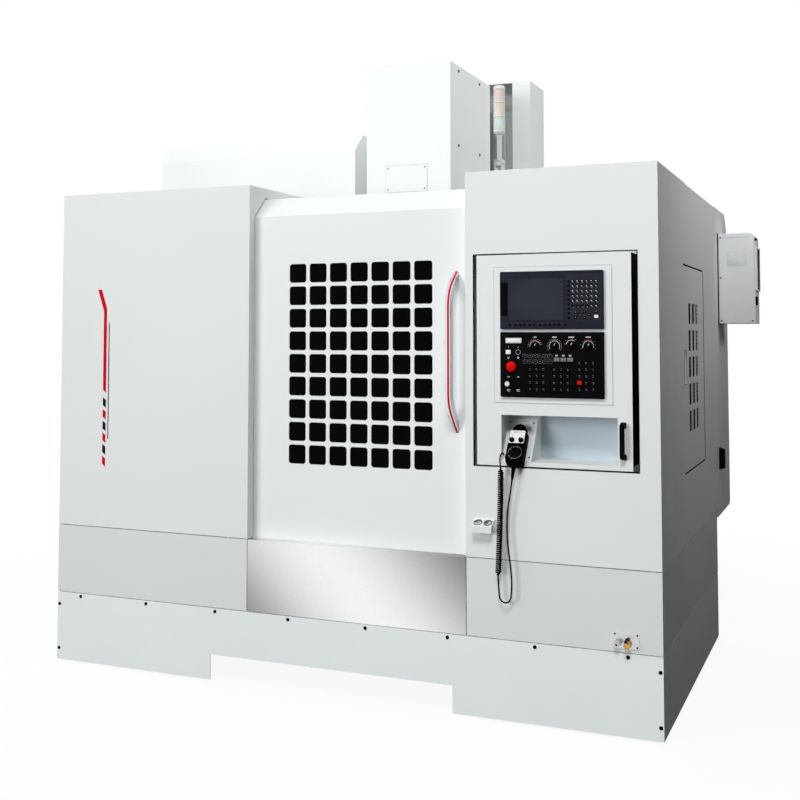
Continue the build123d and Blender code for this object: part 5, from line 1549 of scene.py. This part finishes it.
@dataclass
class SideDoor:
    """Side access door: a black screen of painted shade and black blades in its vents, its latch and black strips of
    painted shade in its gaps.
    """

    face_x: float = 1350.0
    y: Point = (-470.0, 114.0)
    z: Point = (900.0, 1752.0)
    vent_rows: tuple[float, ...] = (1555, 1440, 1328, 1213, 1100)
    vent_columns: tuple[float, ...] = (-305, -202, -101)
    vent_size: Point = (66.0, 88.0)
    blade_count: int = 5
    blade_pitch: float = 16.5
    latch: Point = (-438.0, 1331.0)

    def vents(self) -> None:
        """Set a black screen of painted shade behind the vents and slanting black blades in them, whose black is partly
        painted shade.
        """
        columns, rows = self.vent_columns, self.vent_rows
        # Painted shade: a black sheet where the inside of the door is only in shade.
        screen = Shape().slab((1340.5, 1343.0), (columns[0] - 48, columns[-1] + 48), (rows[-1] - 60, rows[0] + 60), 0.8)
        screen.place("vent_shade_screen", "access_door", Palette.inside)
        blades = Shape()
        width, height = self.vent_size
        for y in columns:
            for z in rows:
                for i in range(self.blade_count):
                    low = z - height / 2 + 10 + i * self.blade_pitch
                    plane = frame_at((1343.4, y, low), (0, 1, 0), (0.6, 0, -0.8))
                    blades.pad(plane, (0, 2.4), (width - 1.5, 9.0), 0.8, 1.2, 0.3, steps=2)
        # The blades are black paint, which partly stands in for the shade inside the vents.
        blades.place("vent_blades", "access_door", Palette.black_steel)

    def latch_set(self) -> None:
        """Build the paddle latch and its lock in the recess."""
        y, z = self.latch
        rim = Shape().rim(on_right(self.face_x, y, z), HERE, (50, 144), (4, 3), 2.5, 0.8)
        rim.place("latch_rim", "access_door", Palette.black)
        paddle = Shape().pad(on_right(self.face_x - 16, y, z), (0, -12), (32, 92), 5, 9.0, 2.0)
        paddle.place("latch_paddle", "access_door", Palette.zinc)
        seat = on_right(self.face_x - 18, y, z + 52)
        lock = Shape().turned(seat, [(0, 10), (8, 10), (9, 9), (9, 3), (7, 2.8), (7, 0)], 28)
        lock.place("latch_lock", "access_door", Palette.chrome)

    def strips(self) -> None:
        """Fill the gaps over, under and behind the door with black strips of painted shade, and put a black painted
        shadow line along the door's rear edge.
        """
        (front, rear), (low, high) = self.y, self.z
        face, shape = self.face_x, Shape()
        # Painted shade: black strips that fill the gaps over, under and behind the door.
        for z in (low - 7.8, high + 0.2):
            shape.slab((face - 19, face - 0.2), (front + 1, rear - 1), (z, z + 7.6), 0.5)
        shape.slab((face - 19, face - 0.4), (rear + 0.4, rear + 2.2), (low + 1, high - 1), 0.4)
        shape.place("access_gap_shade", "machine", Palette.rubber)
        # Painted shadow: a black line along the door's rear edge, standing a little proud.
        edge = Shape().slab((face - 0.6, face + 1.4), (rear - 6, rear - 0.3), (low + 1, high - 1), 0.6)
        edge.place("access_door_shadow_line", "access_door", Palette.rubber)

    def build(self) -> None:
        """Build the door's added pieces."""
        self.vents()
        self.latch_set()
        self.strips()


@dataclass
class Cooler:
    """Cabinet cooler on the right side: its box, black seal, fan grille, plugs, screws and a blank plate."""

    x: Point = (1350.0, 1531.0)
    y: Point = (661.0, 876.0)
    z: Point = (1521.0, 1976.0)
    grille_y: Point = (691.0, 846.0)
    grille_z: Point = (1686.0, 1906.0)
    grille_depth: float = 10.4
    slats: int = 14
    screws: tuple[Point, ...] = ((1366, 1955), (1366, 1752), (1366, 1535), (1518, 1535))
    plate: Point = (1446, 1852)
    plugs: tuple[tuple[Point, Point], ...] = (((676, 1942), (14, 12)), ((682, 1635), (26, 44)))

    def box(self) -> None:
        """Build the folded box with its sloping upper edge and a lipped front cover."""
        x0, x1 = self.x[0] + 5, self.x[1]
        low, high = self.z
        outline = [(x0, low), (x1, low), (x1, high - 18), (x1 - 18, high), (x0, high)]
        shape = Shape().plate(outline, on_front(0, self.y[1], 0), self.y[1] - self.y[0] - 4)
        lid = [(x0 + 1, low + 1), (x1 - 1, low + 1), (x1 - 1, high - 21), (x1 - 20, high - 2), (x0 + 1, high - 2)]
        shape.plate(lid, on_front(0, self.y[0] + 4, 0), 4.0, 1.4)
        shape.slab((x0 + 2, x1 - 24), (self.y[0] - 1.2, self.y[0] + 1), (high - 22, high - 17), 0.8)
        shape.place("cooler_box", "machine", Palette.cooler, "cabinet_cooler")
        seal = Shape().slab((self.x[0] + 0.2, x0 + 0.2), (self.y[0] - 3, self.y[1] + 3), (low - 3, high + 3), 1.0)
        seal.place("cooler_seal", "machine", Palette.rubber)

    def fittings(self) -> None:
        """Set the screws, the blank plate and the two plugs."""
        screws = Shape()
        for x, z in self.screws:
            screws.screw(on_front(x, self.y[0], z), 4.0, 2.4)
        screws.place("cooler_screws", "machine", Palette.black)
        plate = Shape().pad(on_front(self.plate[0], self.y[0], self.plate[1]), HERE, (99, 86), 3, 0.5, 0.1)
        plate.place("cooler_plate", "machine", Palette.white_ink)
        plugs = Shape()
        for (y, z), size in self.plugs:
            plugs.pad(on_right(self.x[1] - 0.2, y, z), HERE, size, 3, 11.0, 1.4)
        plugs.place("cooler_plugs", "machine", Palette.black)

    def grille(self) -> None:
        """Build the fan grille: a frame, dark foam and slanting slats."""
        y, z, face = self.grille_y, self.grille_z, self.x[1]
        middle, (width, height) = centre(y, z), extent(y, z)
        rim = Shape().rim(on_right(face - 0.6, *middle), HERE, (width, height), (6, 4), 8, self.grille_depth)
        rim.place("cooler_grille_rim", "machine", Palette.cooler)
        slats = Shape()
        pitch = (height - 20) / self.slats
        for i in range(self.slats):
            slat = frame_at((face + 5, middle[0], z[0] + 10 + pitch * (i + 0.5)), (0, 1, 0), (0.75, 0, 0.66))
            slats.pad(slat, HERE, (width - 14, 7.0), 0.8, 1.4, 0.3, steps=2)
        slats.place("cooler_grille", "machine", Palette.black)
        foam = Shape().slab((face, face + 3), (y[0] + 7, y[1] - 7), (z[0] + 7, z[1] - 7), 1.0)
        foam.place("cooler_foam", "machine", Palette.inside)

    def build(self) -> None:
        """Build the whole cooler."""
        self.box()
        self.fittings()
        self.grille()


@dataclass
class RearDoor:
    """Door of the electrical cabinet: pressed louvres with painted shade in their openings, locks, hinge barrels and
    the plate of the main switch.
    """

    x: Point = (579.0, 1331.0)
    face_y: float = 1050.0
    hinge: Point = (1333.0, 1050.5)
    hinge_rows: tuple[float, ...] = (760.0, 1310.0, 1860.0)
    louvre_rows: tuple[float, ...] = (720.0, 1750.0)
    louvre_count: int = 8
    louvre_pitch: float = 20.0
    louvre_size: Point = (260.0, 9.0)
    lock_rows: tuple[float, ...] = (900.0, 1310.0, 1730.0)
    switch: Point = (669.0, 1420.0)
    switch_plate: Point = (84, 84)
    barrels: tuple[Point, ...] = ((-38, -13.4), (-12.6, 12.6), (13.4, 38))

    def louvres(self) -> None:
        """Press two banks of louvres out of the door's sheet, open towards the floor, with thin dark slabs of painted
        shade in their openings.
        """
        width, height = self.louvre_size
        side = [(0, 0), (6.0, 0), (6.2, 1.0), (3.4, height * 0.7), (0, height + 3)]
        shape, slots = Shape(), Shape()
        (middle,), y = centre(self.x), self.face_y
        for z in (low + i * self.louvre_pitch for low in self.louvre_rows for i in range(self.louvre_count)):
            for x in (middle - width - 20, middle + 20):
                shape.plate(side, frame_at((x, y, z), (0, 1, 0), (1, 0, 0)), width, 1.2)
                # Painted shade: a thin dark slab in each louvre's opening.
                slots.slab((x + 4, x + width - 4), (y, y + 4.6), (z - 0.4, z + 0.4))
        shape.place("rear_louvres", "cabinet_door", Palette.panel)
        slots.place("rear_louvre_slot_shade", "cabinet_door", Palette.inside)

    def fittings(self) -> None:
        """Set the quarter-turn locks, the hinge barrels and the plate behind the switch."""
        locks, barrels = Shape(), Shape()
        for z in self.lock_rows:
            seat = on_back(self.x[0] + 28, self.face_y, z)
            locks.turned(seat, [(0, 13), (1.5, 13), (2.5, 11.8), (2.5, 7.4), (1.2, 7.2), (1.2, 0)], 32)
            locks.pad(seat, HERE, (4.2, 12), 1.8, 1.6, 0.4, 1.2)
        locks.place("rear_locks", "cabinet_door", Palette.zinc)
        for z in self.hinge_rows:
            for low, high in self.barrels:
                barrels.turned(on_top(*self.hinge, z), [(low, 0), (low, 4.8), (low + 0.8, 5.6), (high - 0.8, 5.6),
                                                        (high, 4.8), (high, 0)], 24)
        barrels.place("rear_hinges", "machine", Palette.zinc)
        seat = on_back(self.switch[0], self.face_y, self.switch[1])
        plate = Shape().pad(seat, HERE, self.switch_plate, 6, 0.8, 0.2)
        plate.place("switch_plate", "cabinet_door", Palette.aluminium)

    def build(self) -> None:
        """Build the door's added pieces."""
        self.louvres()
        self.fittings()


@dataclass
class SignalTower:
    """Signal lamp on its folding neck: knuckle, tube, three milky lenses and a cap."""

    x: float = 665.0
    y: float = -800.0
    pivot_z: float = 2166.0
    low: float = 2300.0
    high: float = 2492.0
    ribs: int = 8

    def build(self) -> None:
        """Build the lamp from its pivot to its cap."""
        plane, foot, low, high = on_top(self.x, self.y, 0), self.pivot_z + 12, self.low, self.high
        neck = Shape().turned(plane, [(foot, 0), (foot, 9.8), (low - 26, 9.8), (low - 24, 11.5), (low - 14, 12.5),
                                      (low - 10, 20), (low, 23.4), (low, 0)], 32)
        neck.turned(on_right(self.x - 11, self.y, self.pivot_z),
                    [(0, 6), (0, 13), (1, 14), (21, 14), (22, 13), (22, 6)], 28, hollow=True)
        neck.place("lamp_neck", "signal_lamp", Palette.zinc, "signal_lamp")
        rings = Shape()
        height = (high - low - 14) / 3
        for i, finish in enumerate((Palette.green_lens, Palette.amber_lens, Palette.red_lens)):
            z = low + i * height
            profile = [(z + 4, 0), (z + 4, 22.4)]
            for k in range(self.ribs):
                step = z + 5 + k * (height - 8) / self.ribs
                profile += [(step, 23.4), (step + (height - 8) / (2 * self.ribs), 22.8)]
            lens = Shape().turned(plane, profile + [(z + height - 1, 22.4), (z + height - 1, 0)], 36)
            lens.place(f"lamp_lens_{i + 1}", "signal_lamp", finish)
            rings.turned(plane, [(z, 0), (z, 23.6), (z + 1, 24), (z + 4, 24), (z + 4.6, 23), (z + 4.6, 0)], 36)
        rings.turned(plane, [(high - 15, 0), (high - 15, 24), (high - 6, 23.6), (high - 2, 20.5), (high, 13),
                             (high, 0)], 36)
        rings.place("lamp_rings", "signal_lamp", Palette.white_key)


@dataclass
class HeadTrim:
    """Screws and a painted shadow line round the front plate on the head's cover."""

    side_x: float = 220.0
    front_y: float = -175.0
    side_screws: tuple[Point, ...] = ((-58, 2389), (-58, 2756), (259, 2389), (259, 2756))
    front_screws: tuple[Point, ...] = ((-104, 2276), (88, 2276), (-104, 2172), (88, 2172))
    plate: Point = (-8, 2224)
    plate_size: Point = (219, 133)

    def build(self) -> None:
        """Set the painted shadow line round the plate and the cover's screws."""
        screws = Shape()
        for y, z in self.side_screws:
            screws.screw(on_right(self.side_x, y, z), 6.8, 4.2)
        for x, z in self.front_screws:
            screws.screw(on_front(x, self.front_y - 2, z), 3.4, 2.0)
        screws.place("head_cover_screws", "head", Palette.black)
        # Painted shadow: a thin grey rim round the front plate's edge.
        line = Shape().rim(on_front(0, self.front_y, 0), self.plate, self.plate_size, (3, 2.6), 1.3, 0.3)
        line.place("head_plate_shadow_line", "head", Palette.grey_ink)


COVERINGS: dict[Finish, str] = {
    Palette.casting: "bed column saddle head_casting magazine_frame",
    Palette.panel: "left_cover right_cover left_side_panel right_side_panel gun_holder electrical_cabinet "
                   "access_door console cabinet_door",
    Palette.door: "main_door",
    Palette.band: "lower_band_left lower_band_right",
    Palette.skirt: "base_skirt",
    Palette.head: "magazine_cover column_cover head_cover",
    Palette.cooler: "cabinet_cooler",
    Palette.stainless: "kick_panel",
    Palette.zinc: "levelling_feet door_rail lamp_bracket",
    Palette.aluminium: "service_plate magazine_drum",
    Palette.steel: "x_screw y_screw z_screw spindle arm_shaft tool_arm",
    Palette.iron: "table",
    Palette.chrome: "door_handle",
    Palette.black_steel: "skirt_screws spindle_motor",
    Palette.black: "cabinet_handle handwheel_body",
    Palette.knob: "console_handle mode_selector feed_selector rapid_selector spindle_selector handwheel_dial "
                  "axis_knob step_knob valve_lever",
    Palette.red: "stop_button main_switch",
    Palette.glass: "window_glass",
    Palette.screen: "display_screen",
    Palette.bezel: "display_unit",
    Palette.panel_film: "operator_panel",
    Palette.rubber: "handwheel_gland",
    Palette.cord: "cord_head curly_cord cord_tail",
    Palette.pale_lens: "signal_lamp",
}


def cover_solids() -> None:
    """Give every solid of the part its finish."""
    for finish, names in COVERINGS.items():
        for name in names.split():
            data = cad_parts[name].data
            data.materials.clear()
            data.materials.append(finish.material())


@dataclass(frozen=True)
class Lamp:
    """A soft rectangular lamp: its place and aim in metres, its size, power and the angle of its beam."""

    name: str
    at: Triple
    aim: Triple
    size: Point
    watts: float
    spread: float = 180.0

    def build(self) -> None:
        """Hang the lamp, unseen in reflections."""
        data = bpy.data.lights.new(self.name, "AREA")
        data.shape = "RECTANGLE"
        data.size, data.size_y = self.size
        data.energy = self.watts
        data.spread = math.radians(self.spread)
        made = add_object(self.name, data)
        made.location = self.at
        made.visible_glossy = False
        made.rotation_euler = (Vector(self.aim) - Vector(self.at)).to_track_quat("-Z", "Y").to_euler()


@dataclass
class Studio:
    """Pale floor, white surroundings, soft lights and the camera of the photograph."""

    camera_at: Triple = (2.06048, -5.17812, 1.46533)
    camera_turn: Triple = (93.077, 0.0, 22.794)
    lens: float = 50.376
    sensor_width: float = 36.0
    shift_y: float = -0.1569
    bright_side: Triple = (-0.78, -0.5, 0.38)
    dim: float = 0.02
    bright: float = 0.62
    floor_half: float = 30.0
    shadow_end: Point = (2.0, 4.0)
    lamps: tuple[Lamp, ...] = (
        Lamp("key_light", (-6.0, -13.0, 3.2), (0.0, -0.6, 1.2), (6.0, 5.0), 900.0),
        Lamp("front_light", (2.0, -6.5, 6.8), (0.9, -1.0, 1.9), (2.0, 2.0), 320.0),
        Lamp("back_light", (-5.0, 10.0, 5.5), (0.0, 0.6, 1.2), (6.0, 4.0), 800.0),
        Lamp("upper_light", (2.4, 0.3, 5.5), (0.2, 0.2, 3.2), (1.2, 1.2), 6.5, 72.0),
        Lamp("side_light", (4.2, 0.2, 3.4), (1.35, 0.2, 3.0), (1.5, 1.5), 13.0, 86.0),
    )

    def camera(self) -> None:
        """Place the camera where the photograph was taken from."""
        data = bpy.data.cameras.new("camera")
        data.sensor_width = self.sensor_width
        data.lens = self.lens
        data.shift_y = self.shift_y
        data.clip_end = 200.0
        made = add_object("camera", data)
        made.location = self.camera_at
        made.rotation_euler = [math.radians(a) for a in self.camera_turn]
        bpy.context.scene.camera = made

    def world(self) -> None:
        """Fill from all round, with a pure white backdrop for what looks past the machine."""
        world = bpy.data.worlds.new("surroundings")
        bpy.context.scene.world = world
        nodes = Nodes(world)
        side = nodes.node("VectorMath", {0: nodes.node("TexCoord").outputs["Generated"],
                                         1: Vector(self.bright_side).normalized()}, operation="DOT_PRODUCT")
        level = nodes.span(side.outputs["Value"], self.dim, self.bright, 0.0, 1.0, interpolation_type="SMOOTHSTEP")
        fill = nodes.node("Background", {"Color": (0.95, 0.98, 1.0, 1.0), "Strength": level})
        white = nodes.node("Background", {"Color": WHITE})
        mix = nodes.node("MixShader", {0: nodes.seen(), 1: fill.outputs[0], 2: white.outputs[0]})
        nodes.node("OutputWorld", {"Surface": mix.outputs[0]})

    def floor(self) -> None:
        """Lay a pale floor that keeps the machine's shadow and turns plain white away from it."""
        material = bpy.data.materials.new("studio_floor")
        nodes = Nodes(material)
        pale = nodes.blend(nodes.seen(), (0.04, 0.04, 0.041, 1.0), (0.97, 0.97, 0.98, 1.0))
        matte = nodes.node("BsdfDiffuse", {"Color": pale})
        away = nodes.node("VectorMath", {0: nodes.node("NewGeometry").outputs["Position"]}, operation="LENGTH")
        faded = nodes.span(away.outputs["Value"], 0.92, 1.0, *self.shadow_end)
        share = nodes.combine("MULTIPLY", nodes.seen(), faded)
        glow = nodes.node("Emission", {"Color": WHITE, "Strength": 1.0})
        mix = nodes.node("MixShader", {0: share, 1: matte.outputs[0], 2: glow.outputs[0]})
        nodes.node("OutputMaterial", {"Surface": mix.outputs[0]})
        mesh = bmesh.new()
        bmesh.ops.create_grid(mesh, x_segments=8, y_segments=8, size=self.floor_half)
        data = bpy.data.meshes.new("studio_floor")
        mesh.to_mesh(data)
        mesh.free()
        data.materials.append(material)
        made = add_object("studio_floor", data)

    def build(self) -> None:
        """Set up the camera, the surroundings, the floor and the lamps."""
        self.camera()
        self.world()
        self.floor()
        for lamp in self.lamps:
            lamp.build()
        bpy.context.scene.view_settings.view_transform = "Standard"


def main() -> None:
    """Dress the machine piece by piece and set up the studio."""
    logging.basicConfig(level=logging.INFO, format="%(name)s: %(message)s")
    cover_solids()
    for assembly in (Casing(), SlidingDoor(), Console(), DisplayUnit(), OperatorPanel(), Pendant(), PendantCord(),
                     GunHolder(), ServicePoint(), SideDoor(), Cooler(), RearDoor(), SignalTower(), HeadTrim(),
                     Studio()):
        assembly.build()


if __name__ == "__main__":
    main()
